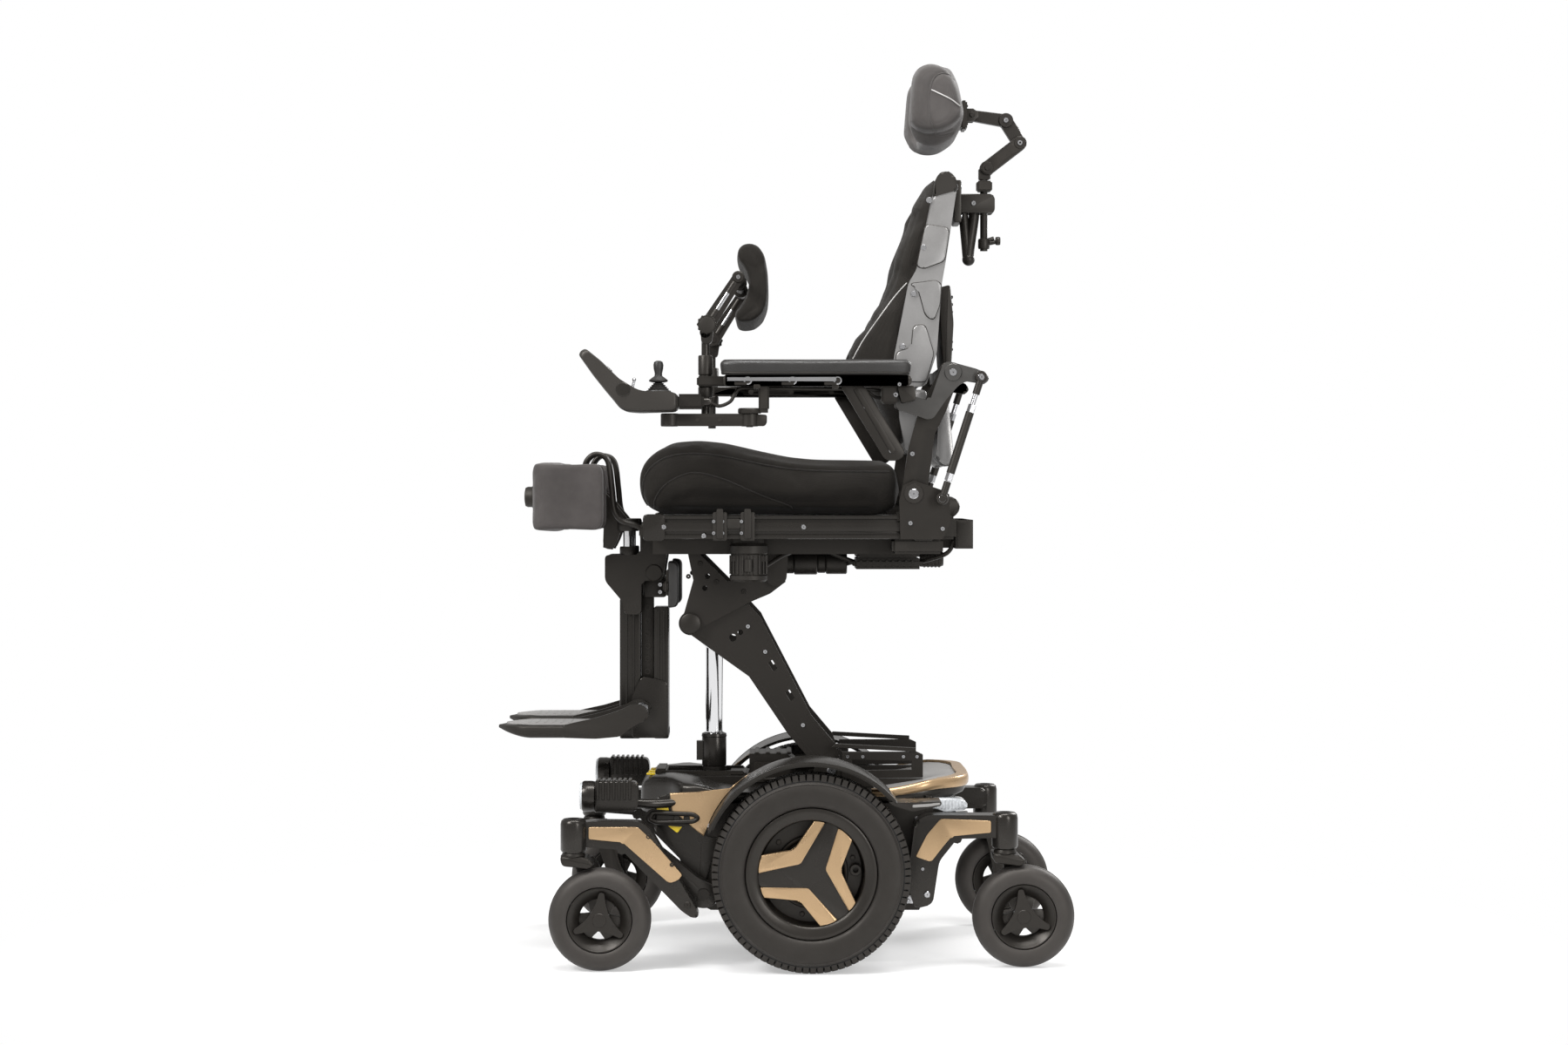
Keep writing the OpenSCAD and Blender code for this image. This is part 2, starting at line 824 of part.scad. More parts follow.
module knee_bracket(side) {
    y = 45;
    color(satin_black) on_side(side) {
        post(-287, y, 9.5, 652, 790);
        post(-287, y, 20, 785, 804);
        link([-296, 795], knee_pivot, 9, 13, 39, 51);
        slab([[-334, 752], [-316, 748], [-300, 790], [-330, 830]], 39, 51);
        pin(knee_pivot, 6, 51, 66);
    }
}

module knee_pad(side) {
    front = [[-461, 800], [-452, 784], [-398, 782], [-398, 912], [-450, 911], [-461, 900]];
    wing = [[-400, 784], [-360, 790], [-340, 806], [-326, 836], [-328, 862], [-345, 886],
            [-400, 908]];
    color(cloth) on_side(side) difference() {
        union() {
            slab(front, 54, 162);
            slab(wing, 54, 65);
            slab(wing, 151, 162);
            translate([-473, 108, 847]) rotate([0, 90, 0]) cylinder(r = 18, h = 14);
        }
        pin(knee_pivot, 6 + fit, 53, 67);
    }
}

// ---------- joystick ----------

module joystick_arm() {
    x0 = swing_pivot[0];
    y0 = swing_pivot[1];
    color(satin_black) {
        difference() {
            union() {
                box([-200, y0 - 10, 974], [x0, y0 + 10, 996]);
                post(x0, y0, 14, 974, 996);
                box([x0, y0 - 10, 974], [-29, y0 + 10, 996]);
                post(pod_pivot[0], y0, 15, 974, 996);
            }
            post(x0, y0, 6 + fit, 960, 1000);
        }
        post(pod_pivot[0], y0, 6, 996, 1008);
    }
}

module joystick_pod() {
    outline = [[-360, 1102], [-349, 1110], [-324, 1091], [-292, 1059], [-276, 1049], [-257, 1036],
               [-242, 1031], [-186, 1031], [-186, 1000], [-254, 999], [-285, 1004], [-310, 1034],
               [-349, 1080]];
    x = stick_pivot[0];
    y = stick_pivot[1];
    z = stick_pivot[2];
    color(satin_black) difference() {
        union() {
            slab(outline, -322, -242);
            box([-187, -300, 1006], [-140, -264, 1030]);
        }
        post(x, y, 22, 1006, 1040);
        pin([x, z], 2 + fit, y - 26, y + 26);
        post(pod_pivot[0], pod_pivot[1], 6 + fit, 990, 1006);
        post(pod_pivot[0], pod_pivot[1], 6 + fit, 1005, 1009);
        translate(button_place) rotate([0, 45, 0]) translate([0, 0, -6]) cylinder(r = 6.3, h = 12);
        box([-276, -312, 1032], [-256, -302, 1060]);
        pin(toggle_pivot, 2 + fit, -315, -299);
    }
}

button_place = [-308, -282, 1075];
toggle_pivot = [-266, 1038];

module joystick_gimbal() {
    x = stick_pivot[0];
    y = stick_pivot[1];
    z = stick_pivot[2];
    color(steel) difference() {
        union() {
            post(x, y, 18.5, z - 4, z + 4);
            pin([x, z], 2, y - 24, y + 24);
        }
        post(x, y, 13, z - 5, z + 5);
        translate([x - 20, y, z]) rotate([0, 90, 0]) cylinder(r = 2 + fit, h = 40);
    }
}

module joystick_stick() {
    x = stick_pivot[0];
    y = stick_pivot[1];
    z = stick_pivot[2];
    color(satin_black) {
        translate(stick_pivot) sphere(7);
        translate([x - 16, y, z]) rotate([0, 90, 0]) cylinder(r = 2, h = 32);
        post(x, y, 4, z, 1064);
        post(x, y, 20, 1041, 1048);
        post(x, y, 15, 1048, 1056);
        post(x, y, 8, 1062, 1090);
    }
}

module power_button() {
    color(grey) translate(button_place) rotate([0, 45, 0]) translate([0, 0, -3.5])
        cylinder(r = 6, h = 6);
}

module mode_toggle() {
    color(steel) {
        pin(toggle_pivot, 2, -313.5, -300.5);
        pin(toggle_pivot, 4, -311, -303);
        bar([toggle_pivot[0], -307, toggle_pivot[1]], [toggle_pivot[0] + 4, -307, 1058], 2.5);
    }
}

// ---------- the nodes ----------

chassis();
batteries();
drive_motors();
top_shroud();
gold_panels();
headlights();
lift_base();
drive_tyre(LEFT);  // drive_tyre_l
drive_rim(LEFT);  // drive_rim_l
drive_tyre(RIGHT);  // drive_tyre_r
drive_rim(RIGHT);  // drive_rim_r
front_arm(LEFT);  // caster_arm_fl
front_fork(LEFT);  // caster_fork_fl
front_wheel(LEFT);  // caster_wheel_fl
front_arm(RIGHT);  // caster_arm_fr
front_fork(RIGHT);  // caster_fork_fr
front_wheel(RIGHT);  // caster_wheel_fr
rear_arm(LEFT);  // caster_arm_rl
rear_fork(LEFT);  // caster_fork_rl
rear_wheel(LEFT);  // caster_wheel_rl
rear_arm(RIGHT);  // caster_arm_rr
rear_fork(RIGHT);  // caster_fork_rr
rear_wheel(RIGHT);  // caster_wheel_rr
lift_arm();
lift_bracket();
lift_tube();
lift_rod();
seat_rails();
seat_frame();
seat_cushion();
power_modules();
leg_receivers();
back_frame();
back_shell();
back_cushion();
level_rods();
armrest_frames();
armrest_pads();
chest_uprights();
chest_arms();
chest_pad();
head_post();
head_link_low();
head_link_high();
headrest_pad();
legrest_head();
calf_pads();
legrest_pole();
footplate(LEFT);  // footplate_l
footplate(RIGHT);  // footplate_r
knee_bracket(LEFT);  // knee_bracket_l
knee_pad(LEFT);  // knee_pad_l
knee_bracket(RIGHT);  // knee_bracket_r
knee_pad(RIGHT);  // knee_pad_r
joystick_arm();
joystick_pod();
joystick_gimbal();
joystick_stick();
power_button();
mode_toggle();
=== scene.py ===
# Looks of the powered wheelchair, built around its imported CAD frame.
# Helpers take millimetres in the frame's own axes (+Z up, facing -X, the user's left is -Y).
import json
import math

import bmesh
import bpy
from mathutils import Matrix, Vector
from mathutils.bvhtree import BVHTree
from mathutils.kdtree import KDTree


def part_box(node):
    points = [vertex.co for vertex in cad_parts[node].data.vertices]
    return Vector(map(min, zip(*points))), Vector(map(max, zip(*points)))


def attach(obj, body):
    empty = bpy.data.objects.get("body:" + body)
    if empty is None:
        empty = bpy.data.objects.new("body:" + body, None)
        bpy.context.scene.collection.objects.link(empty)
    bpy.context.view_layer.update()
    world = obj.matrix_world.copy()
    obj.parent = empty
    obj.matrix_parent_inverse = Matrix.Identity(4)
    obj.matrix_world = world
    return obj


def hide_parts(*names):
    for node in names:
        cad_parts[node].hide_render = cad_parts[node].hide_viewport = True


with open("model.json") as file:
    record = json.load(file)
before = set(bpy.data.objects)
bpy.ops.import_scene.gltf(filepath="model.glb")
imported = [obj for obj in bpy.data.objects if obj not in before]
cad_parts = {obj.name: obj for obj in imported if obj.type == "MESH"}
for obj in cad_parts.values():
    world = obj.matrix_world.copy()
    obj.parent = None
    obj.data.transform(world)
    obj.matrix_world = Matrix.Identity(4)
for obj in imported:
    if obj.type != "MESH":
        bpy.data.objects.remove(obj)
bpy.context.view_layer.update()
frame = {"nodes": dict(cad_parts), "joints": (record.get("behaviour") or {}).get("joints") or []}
MM = 0.001
SHARP_DEGREES = 38
WARM = (1.0, 0.94, 0.87, 1)
SATIN = {"Specular_IOR_Level": 0.36, "Specular_Tint": WARM}
LEFT, RIGHT = -1, 1
SIDES = ((LEFT, "l"), (RIGHT, "r"))
SIDE_WORD = {"l": "left", "r": "right"}
AXIS = 0.05  # radius of the pinhole that closes a turned solid on its axis


def corners(node):
    """A CAD node's lowest and highest corner, in millimetres."""
    return [[c / MM for c in corner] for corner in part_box(node)]


def middle(node):
    low, high = corners(node)
    return [(a + b) / 2 for a, b in zip(low, high)]


def joint(name):
    """A joint's place as (x, z), in millimetres."""
    place = next(j for j in frame["joints"] if j["name"] == name)["pos_m"]
    return place[0] / MM, place[2] / MM


# ---------- camera, light and floor ----------

def make_camera():
    data = bpy.data.cameras.new("camera")
    data.lens = 61.9
    data.sensor_width = 36
    data.shift_x = 0.0039
    data.shift_y = -0.0194
    cam = bpy.data.objects.new("camera", data)
    cam.location = (-0.0065, -5.1, 0.856)
    cam.rotation_euler = (math.radians(90), 0, 0)
    bpy.context.scene.collection.objects.link(cam)
    bpy.context.scene.camera = cam


def area_light(name, place, target, size, power):
    data = bpy.data.lights.new(name, "AREA")
    data.shape = "RECTANGLE"
    data.size, data.size_y = size
    data.energy = power
    light = bpy.data.objects.new(name, data)
    light.location = place
    aim = Vector(target) - Vector(place)
    light.rotation_euler = aim.to_track_quat("-Z", "Y").to_euler()
    bpy.context.scene.collection.objects.link(light)


def studio_floor():
    """White sweep: it takes shadows round the chair and fades to plain white further out."""
    n = Nodes("floor_paint")
    n.set(Base_Color=(0.94, 0.94, 0.94, 1), Roughness=0.7, Specular_IOR_Level=0.2)
    away = n.add("ShaderNodeVectorMath", operation="LENGTH")
    n.link(n.coords, away.inputs[0])
    fade = n.add("ShaderNodeMapRange", interpolation_type="SMOOTHSTEP")
    for key, value in (("From Min", 0.75), ("From Max", 1.5), ("To Min", 0.42)):
        fade.inputs[key].default_value = value
    n.link(away.outputs["Value"], fade.inputs["Value"])
    white = n.add("ShaderNodeEmission", in_Color=(1, 1, 1, 1), in_Strength=1.0)
    mix = n.add("ShaderNodeMixShader")
    n.link(fade.outputs["Result"], mix.inputs[0])
    n.link(n.shader.outputs[0], mix.inputs[1])
    n.link(white.outputs[0], mix.inputs[2])
    n.link(mix.outputs[0], n.tree.nodes["Material Output"].inputs["Surface"])
    return n.mat


def make_stage():
    world = bpy.data.worlds.new("studio")
    world.use_nodes = True
    tree = world.node_tree
    seen = tree.nodes["Background"]
    seen.inputs[0].default_value = (1, 1, 1, 1)
    sky = tree.nodes.new("ShaderNodeBackground")
    sky.inputs[0].default_value = (1.0, 0.985, 0.97, 1)
    sky.inputs[1].default_value = 0.55
    mix = tree.nodes.new("ShaderNodeMixShader")
    tree.links.new(tree.nodes.new("ShaderNodeLightPath").outputs["Is Camera Ray"], mix.inputs[0])
    tree.links.new(sky.outputs[0], mix.inputs[1])
    tree.links.new(seen.outputs[0], mix.inputs[2])
    tree.links.new(mix.outputs[0], tree.nodes["World Output"].inputs[0])
    bpy.context.scene.world = world
    bpy.context.scene.view_settings.view_transform = "Standard"
    area_light("key", (-2.4, -2.2, 3.0), (0, 0, 0.7), (1.0, 1.4), 130)
    area_light("top", (0.2, -0.9, 3.6), (0, 0, 0.5), (2.6, 0.7), 120)
    area_light("fill", (1.9, -3.0, 1.5), (0.1, 0, 0.8), (0.6, 1.8), 45)
    area_light("back_rim", (2.2, 2.0, 2.4), (0, 0, 0.9), (1.0, 1.6), 80)
    bpy.ops.mesh.primitive_plane_add(size=60, location=(0, 0, -0.0005))
    floor = bpy.context.object
    floor.name = "floor"
    floor.data.materials.append(studio_floor())


# ---------- materials ----------

class Nodes:
    """A short way to wire a material's nodes."""

    def __init__(self, name):
        self.mat = bpy.data.materials.new(name)
        self.mat.use_nodes = True
        self.tree = self.mat.node_tree
        self.shader = self.tree.nodes["Principled BSDF"]
        self.coords = self.add("ShaderNodeTexCoord").outputs["Object"]

    def add(self, kind, **settings):
        node = self.tree.nodes.new(kind)
        for key, value in settings.items():
            if key.startswith("in_"):
                node.inputs[key[3:].replace("_", " ")].default_value = value
            else:
                setattr(node, key, value)
        return node

    def link(self, out, into):
        self.tree.links.new(out, into)

    def noise(self, scale, detail=3.0, rough=0.5):
        node = self.add("ShaderNodeTexNoise", in_Scale=scale, in_Detail=detail,
                        in_Roughness=rough)
        self.link(self.coords, node.inputs["Vector"])
        return node.outputs["Fac"]

    def cells(self, scale, feature="F1"):
        node = self.add("ShaderNodeTexVoronoi", feature=feature, in_Scale=scale)
        self.link(self.coords, node.inputs["Vector"])
        return node.outputs["Distance"]

    def wave(self, scale, direction):
        node = self.add("ShaderNodeTexWave", bands_direction=direction, in_Scale=scale)
        self.link(self.coords, node.inputs["Vector"])
        return node.outputs["Fac"]

    def maths(self, operation, a, b):
        node = self.add("ShaderNodeMath", operation=operation)
        for slot_in, value in zip(node.inputs, (a, b)):
            if hasattr(value, "links"):
                self.link(value, slot_in)
            else:
                slot_in.default_value = value
        return node.outputs[0]

    def spread(self, fac, low, high):
        """fac mapped so that its usual 0.3 to 0.7 runs from low to high."""
        node = self.add("ShaderNodeMapRange")
        self.link(fac, node.inputs["Value"])
        for key, value in (("From Min", 0.3), ("From Max", 0.7), ("To Min", low), ("To Max", high)):
            node.inputs[key].default_value = value
        return node.outputs["Result"]

    def colours(self, fac, dark, light):
        node = self.add("ShaderNodeMix", data_type="RGBA")
        self.link(fac, node.inputs["Factor"])
        node.inputs["A"].default_value = (*dark, 1)
        node.inputs["B"].default_value = (*light, 1)
        self.link(node.outputs["Result"], self.shader.inputs["Base Color"])

    def bump(self, height, depth, strength=1.0):
        """depth is the height of the relief, in metres."""
        node = self.add("ShaderNodeBump", in_Strength=strength, in_Distance=depth)
        self.link(height, node.inputs["Height"])
        self.link(node.outputs["Normal"], self.shader.inputs["Normal"])

    def set(self, **values):
        for key, value in values.items():
            self.shader.inputs[key.replace("_", " ")].default_value = value


def shade(colour, by):
    return tuple(min(1, c * by) for c in colour)


def plain(name, colour, rough=0.5):
    n = Nodes(name)
    n.colours(n.spread(n.noise(3), 0, 1), shade(colour, 0.985), colour)
    n.set(Roughness=rough)
    return n.mat


def powder_coat(name, colour, rough=0.42):
    """Satin powder coat: fine orange peel and slightly rubbed edges."""
    n = Nodes(name)
    worn = n.add("ShaderNodeNewGeometry").outputs["Pointiness"]
    edge = n.add("ShaderNodeMapRange", in_From_Min=0.54, in_From_Max=0.66)
    n.link(worn, edge.inputs["Value"])
    patchy = n.maths("MULTIPLY", edge.outputs["Result"], n.noise(60, 4))
    n.colours(patchy, colour, shade(colour, 2.2))
    n.link(n.spread(n.noise(18, 4), rough - 0.05, rough + 0.06), n.shader.inputs["Roughness"])
    n.bump(n.noise(900, 2), 0.00006, 0.35)
    n.set(**SATIN)
    return n.mat


def moulding(name, colour, rough=0.5, grain=1400, relief=0.00006):
    """Textured injection moulding."""
    n = Nodes(name)
    n.colours(n.spread(n.noise(9), 0, 1), shade(colour, 0.9), shade(colour, 1.1))
    n.link(n.spread(n.noise(16, 3), rough - 0.04, rough + 0.05), n.shader.inputs["Roughness"])
    n.bump(n.cells(grain), relief, 0.4)
    n.set(**SATIN)
    return n.mat


def rubber(name, colour, dust=0.25):
    """Tyre rubber: matte, a little dusty and mottled."""
    n = Nodes(name)
    n.colours(n.spread(n.noise(14, 5, 0.65), 0, dust), colour, (0.11, 0.103, 0.096))
    n.link(n.spread(n.noise(40, 4), 0.46, 0.60), n.shader.inputs["Roughness"])
    n.bump(n.noise(700, 3), 0.0001, 0.4)
    n.set(**SATIN)
    return n.mat


def metallic(name, colour, rough, flake=0.0, metal=1.0):
    """Metal or metallic paint, with fine flake."""
    n = Nodes(name)
    n.colours(n.spread(n.noise(700 if flake else 12, 2), 0, 1), shade(colour, 1 - flake), colour)
    n.link(n.spread(n.noise(30, 3), rough * 0.85, rough * 1.2), n.shader.inputs["Roughness"])
    n.bump(n.noise(1200, 2), 0.00004, 0.4)
    n.set(Metallic=metal)
    return n.mat


def knit(name, colour, pitch=0.0013, sheen=0.35):
    """Stretch knit: two crossed rows of stitches, with soft folds of shade and sheen."""
    n = Nodes(name)
    scale = 0.314 / pitch
    weave = n.maths("MULTIPLY", n.wave(scale, "X"), n.wave(scale, "Z"))
    weave = n.maths("ADD", weave, n.wave(scale, "Y"))
    fold = n.maths("MULTIPLY", n.noise(7, 4, 0.6), 1.5)
    n.bump(n.maths("ADD", weave, fold), 0.00035, 0.55)
    n.colours(n.spread(n.noise(11, 5, 0.6), 0, 1), shade(colour, 0.75), shade(colour, 1.3))
    n.set(Roughness=0.85, Sheen_Weight=sheen, Sheen_Roughness=0.45, Specular_IOR_Level=0.25,
          Specular_Tint=WARM)
    return n.mat


def grained_skin(name, colour, rough=0.46):
    """Soft moulded skin with a fine leather grain."""
    n = Nodes(name)
    n.colours(n.spread(n.noise(12, 4), 0, 1), shade(colour, 0.8), shade(colour, 1.2))
    n.link(n.spread(n.noise(50, 3), rough - 0.06, rough + 0.08), n.shader.inputs["Roughness"])
    n.bump(n.maths("ADD", n.cells(520), n.maths("MULTIPLY", n.noise(160, 4), 0.6)), 0.0004, 0.5)
    return n.mat


def clear_lens(name, tint):
    n = Nodes(name)
    n.colours(n.spread(n.cells(160), 0, 1), shade(tint, 0.85), tint)
    n.bump(n.cells(160), 0.0006, 0.5)
    n.set(Roughness=0.08, Coat_Weight=1.0, Coat_Roughness=0.03)
    return n.mat


MATS = {
    "paint": powder_coat("black_powder_coat", (0.0068, 0.0058, 0.0048)),
    "paint_soft": powder_coat("dark_satin_coat", (0.0078, 0.0066, 0.0055), 0.46),
    "plastic": moulding("black_moulding", (0.0090, 0.0079, 0.0068)),
    "gloss": moulding("smooth_black_moulding", (0.0100, 0.0090, 0.0080), 0.27, 2600, 0.00002),
    "wheel": moulding("wheel_moulding", (0.0085, 0.0073, 0.0062), 0.36),
    "tyre": rubber("drive_tyre_rubber", (0.0080, 0.0068, 0.0060), 0.05),
    "pod": moulding("grey_black_moulding", (0.020, 0.0182, 0.0165), 0.42),
    # near-black painted shade for the slits between the tyre lugs
    "slit_shade": plain("tread_shade", (0.0010, 0.0009, 0.0009), 0.95),
    "caster": rubber("caster_rubber", (0.0230, 0.0205, 0.0190), 0.10),
    "gold": metallic("gold_bronze_paint", (0.42, 0.285, 0.158), 0.30, 0.10, 0.65),
    "shell": metallic("silver_grey_paint", (0.25, 0.245, 0.241), 0.34, 0.08, 0.6),
    "dark_alloy": metallic("dark_cast_alloy", (0.085, 0.082, 0.078), 0.32, 0.06, 0.8),
    "steel": metallic("bright_steel", (0.42, 0.42, 0.43), 0.24),
    "chrome": metallic("chrome_plate", (0.80, 0.80, 0.81), 0.09),
    "fabric": knit("black_knit", (0.0070, 0.0060, 0.0050), sheen=0.10),
    "panel": knit("black_side_panel", (0.0120, 0.0110, 0.0100), 0.0009, 0.16),
    "head": knit("dark_grey_knit", (0.050, 0.046, 0.0445), 0.0012, 0.25),
    "pad": knit("mid_grey_knit", (0.046, 0.0415, 0.0405), 0.0014, 0.22),
    "piping": knit("pale_piping", (0.40, 0.39, 0.38), 0.0008, 0.2),
    "skin": grained_skin("soft_black_skin", (0.0110, 0.0100, 0.0090)),
    # pale grey: used for the footplate treads, and as painted highlight on the rear deck and the
    # fender tails
    "deck": moulding("pale_grey_and_painted_highlight", (0.21, 0.205, 0.20), 0.36),
    "lens": clear_lens("lamp_lens", (0.52, 0.54, 0.56)),
    "yellow": plain("yellow_label", (0.85, 0.62, 0.02), 0.4),
    "battery": moulding("battery_case", (0.040, 0.040, 0.043), 0.45),
    "screen": clear_lens("dark_screen", (0.010, 0.012, 0.014)),
    "strap": knit("webbing", (0.0130, 0.0120, 0.0110), 0.0018, 0.15),
}


# ---------- mesh helpers ----------

def linked(name, bm):
    """An object in the scene from a bmesh in millimetres."""
    bmesh.ops.recalc_face_normals(bm, faces=bm.faces)
    bmesh.ops.scale(bm, vec=(MM, MM, MM), verts=bm.verts)
    mesh = bpy.data.meshes.new(name)
    bm.to_mesh(mesh)
    bm.free()
    obj = bpy.data.objects.new(name, mesh)
    bpy.context.scene.collection.objects.link(obj)
    return obj


def sharpen(obj):
    """Marks the edges that stay sharp under smooth shading."""
    obj.data.set_sharp_from_angle(angle=math.radians(SHARP_DEGREES))


def to_object(bm, name, look, body, declared=()):
    """Makes the finished piece from a bmesh in millimetres, and puts it on its body."""
    obj = linked(name, bm)
    obj.data.materials.append(MATS[look])
    obj.data.shade_smooth()
    sharpen(obj)
    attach(obj, body)
    for node in declared:
        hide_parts(node)
    return obj


def both(build, *args, **kwargs):
    """One bmesh holding build()'s shape and its mirror image across the middle plane."""
    bm = bmesh.new()
    build(bm, *args, **kwargs)
    copy = bmesh.ops.duplicate(bm, geom=bm.verts[:] + bm.edges[:] + bm.faces[:])["geom"]
    for v in copy:
        if isinstance(v, bmesh.types.BMVert):
            v.co.y = -v.co.y
    return bm


def mirror_to(bm, side):
    """The shapes are built at +Y. This moves them to the wanted side."""
    for v in bm.verts:
        v.co.y *= side
    return bm


def twin_prisms(bm, outline, y0, y1, *soft):
    """The same plate on both sides of the middle plane."""
    for s in (LEFT, RIGHT):
        prism(bm, outline, *sorted((s * y0, s * y1)), *soft)


def eased(value, low, high):
    """0 below low, 1 above high, smooth in between."""
    t = max(0.0, min(1.0, (value - low) / (high - low)))
    return t * t * (3 - 2 * t)


def signed_power(value, power):
    """A power of the size of a value, with the value's own sign."""
    return math.copysign(abs(value) ** power, value)


def skin(bm, rings, closed=False):
    """Faces between each ring of points and the next; closed joins the last to the first."""
    count = len(rings[0])
    for here, there in zip(rings, rings[1:] + rings[:closed]):
        for k in range(count):
            m = (k + 1) % count
            bm.faces.new((here[k], here[m], there[m], there[k]))
    if not closed:
        bm.faces.new(rings[0][::-1])
        bm.faces.new(rings[-1])
    return bm


def loft(bm, rings):
    """A closed skin through rings of equal length, capped at both ends."""
    return skin(bm, [[bm.verts.new(p) for p in ring] for ring in rings])


def revolve(bm, profile, angles, place, closed=True):
    """Turns a profile of (radius, offset); place puts (radius, offset, cos, sin) in space."""
    return skin(bm, [[bm.verts.new(place(r, h, math.cos(a), math.sin(a))) for r, h in profile]
                     for a in angles], closed)


def full_turn(turns):
    """Evenly spaced angles, once round."""
    return [math.tau * i / turns for i in range(turns)]


def arc_points(x, z, r, start, end, steps):
    """Points of (x, z) on an arc given in degrees."""
    angles = (math.radians(start + (end - start) * i / steps) for i in range(steps + 1))
    return [(x + r * math.cos(a), z + r * math.sin(a)) for a in angles]


def two_sided(wall):
    """A wheel's profile: the outer wall and its mirror image, back to the start."""
    return wall + [(r, -h) for r, h in reversed(wall)]


def spin(bm, profile, x, z, y, turns=96):
    """Turns a profile of (radius, offset along Y) about the axis through (x, y, z)."""
    return revolve(bm, profile, full_turn(turns), lambda r, h, c, s: (x + r * c, y + h, z + r * s))


def spin_up(bm, x, y, profile, turns=48):
    """Turns a profile of (radius, z) about an upright axis."""
    return revolve(bm, profile, full_turn(turns), lambda r, z, c, s: (x + r * c, y + r * s, z))


def spin_along(bm, y, z, profile, turns=48):
    """Turns a profile of (radius, x) about an axis along X through (y, z)."""
    return revolve(bm, profile, full_turn(turns), lambda r, x, c, s: (x, y + r * c, z + r * s))


def arc_spin(bm, profile, x, z, y, start, end, steps=48):
    """Sweeps a closed profile of (radius, offset along Y) round an arc given in degrees."""
    angles = [math.radians(start + (end - start) * i / steps) for i in range(steps + 1)]
    return revolve(bm, profile, angles, lambda r, h, c, s: (x + r * c, y + h, z + r * s), False)


def disc_profile(r, h0, h1, soft=1.0, hub=AXIS):
    """A disc's profile of (radius, height), with softened edges and a hole of radius hub."""
    return [(hub, h0), (r - soft, h0), (r, h0 + soft), (r, h1 - soft), (r - soft, h1), (hub, h1)]


def rect(x0, z0, x1, z1):
    """The four corners of a rectangle; as a profile it turns into a plain cylinder or ring."""
    return [(x0, z0), (x1, z0), (x1, z1), (x0, z1)]


def prism(bm, outline, y0, y1, soft=1.5, steps=2):
    """An outline of (x, z) given thickness in Y, with softened edges."""
    low = [bm.verts.new((x, y0, z)) for x, z in outline]
    high = [bm.verts.new((x, y1, z)) for x, z in outline]
    faces = [bm.faces.new(low), bm.faces.new(high[::-1])]
    count = len(outline)
    for i in range(count):
        j = (i + 1) % count
        faces.append(bm.faces.new((low[i], high[i], high[j], low[j])))
    if soft:
        rims = list(set(faces[0].edges) | set(faces[1].edges))
        bmesh.ops.bevel(bm, geom=rims, offset=soft, segments=steps, affect="EDGES", profile=0.6)
    return bm


def rounded(points, radius, steps=5):
    """An outline of (x, z) points with each corner turned into an arc of about that radius."""
    out = []
    count = len(points)
    for i, p in enumerate(points):
        p = Vector(p[:2])
        a = Vector(points[i - 1][:2]) - p
        b = Vector(points[(i + 1) % count][:2]) - p
        cut = min(radius, a.length * 0.45, b.length * 0.45)
        start, end = p + a.normalized() * cut, p + b.normalized() * cut
        for k in range(steps + 1):
            t = k / steps
            out.append(tuple((1 - t) ** 2 * start + 2 * t * (1 - t) * p + t ** 2 * end))
    return out


def block(bm, low, high, soft=2.0, steps=2):
    """A box with rounded edges."""
    size = [b - a for a, b in zip(low, high)]
    made = bmesh.ops.create_cube(bm, size=1)["verts"]
    for v in made:
        v.co = Vector([a + (c + 0.5) * s for a, c, s in zip(low, v.co, size)])
    edges = {e for v in made for e in v.link_edges}
    soft = min(soft, min(size) * 0.45)
    bmesh.ops.bevel(bm, geom=list(edges), offset=soft, segments=steps, affect="EDGES")
    return bm


def ball(bm, r, place, turns, rows):
    """A ball of radius r at a place."""
    for v in bmesh.ops.create_uvsphere(bm, u_segments=turns, v_segments=rows, radius=r)["verts"]:
        v.co += Vector(place)


def smooth_path(points, steps=6):
    """A Catmull-Rom curve through given points."""
    pts = [Vector(p) for p in points]
    pts = [2 * pts[0] - pts[1]] + pts + [2 * pts[-1] - pts[-2]]
    out = []
    for i in range(1, len(pts) - 2):
        p0, p1, p2, p3 = pts[i - 1:i + 3]
        for k in range(steps):
            t = k / steps
            out.append(0.5 * (2 * p1 + (p2 - p0) * t + (2 * p0 - 5 * p1 + 4 * p2 - p3) * t ** 2
                              + (3 * p1 - p0 - 3 * p2 + p3) * t ** 3))
    out.append(pts[-2])
    return out


def tube(bm, points, r, sides=12, closed=False):
    """A round tube along a path, with capped ends."""
    pts = [Vector(p) for p in points]
    rings = []
    normal = None
    for i, p in enumerate(pts):
        ahead = pts[(i + 1) % len(pts)] if closed or i + 1 < len(pts) else p
        behind = pts[i - 1] if closed or i else p
        along = (ahead - behind).normalized()
        if normal is None:
            normal = along.orthogonal().normalized()
        normal = (normal - along * normal.dot(along)).normalized()
        other = along.cross(normal)
        rings.append([bm.verts.new(p + (normal * math.cos(a) + other * math.sin(a)) * r)
                      for a in (math.tau * k / sides for k in range(sides))])
    return skin(bm, rings, closed)


def screw(bm, x, z, y, r=4.0, out=-1, head=2.4):
    """A button-head screw lying on a face that looks along out (-1 or 1) in Y."""
    profile = [(0.9, 0.8), (1.9, 0.8), (2.1, head), (r * 0.8, head), (r, head * 0.45), (r, -1),
               (0.9, -1)]
    spin(bm, [(a, h * out) for a, h in profile], x, z, y, 20)


def boxed(y, z, low_y, high_y, low_z, high_z, power=0.3):
    """A point on a box-like curve for the unit circle point (y, z)."""
    return ((low_y + high_y) / 2 + signed_power(y, power) * (high_y - low_y) / 2,
            (low_z + high_z) / 2 + signed_power(z, power) * (high_z - low_z) / 2)


def boxed_ring(x, count, *limits):
    """A box-like ring of points across X; limits are those of boxed()."""
    return [Vector((x, *boxed(math.cos(a), math.sin(a), *limits))) for a in full_turn(count)]


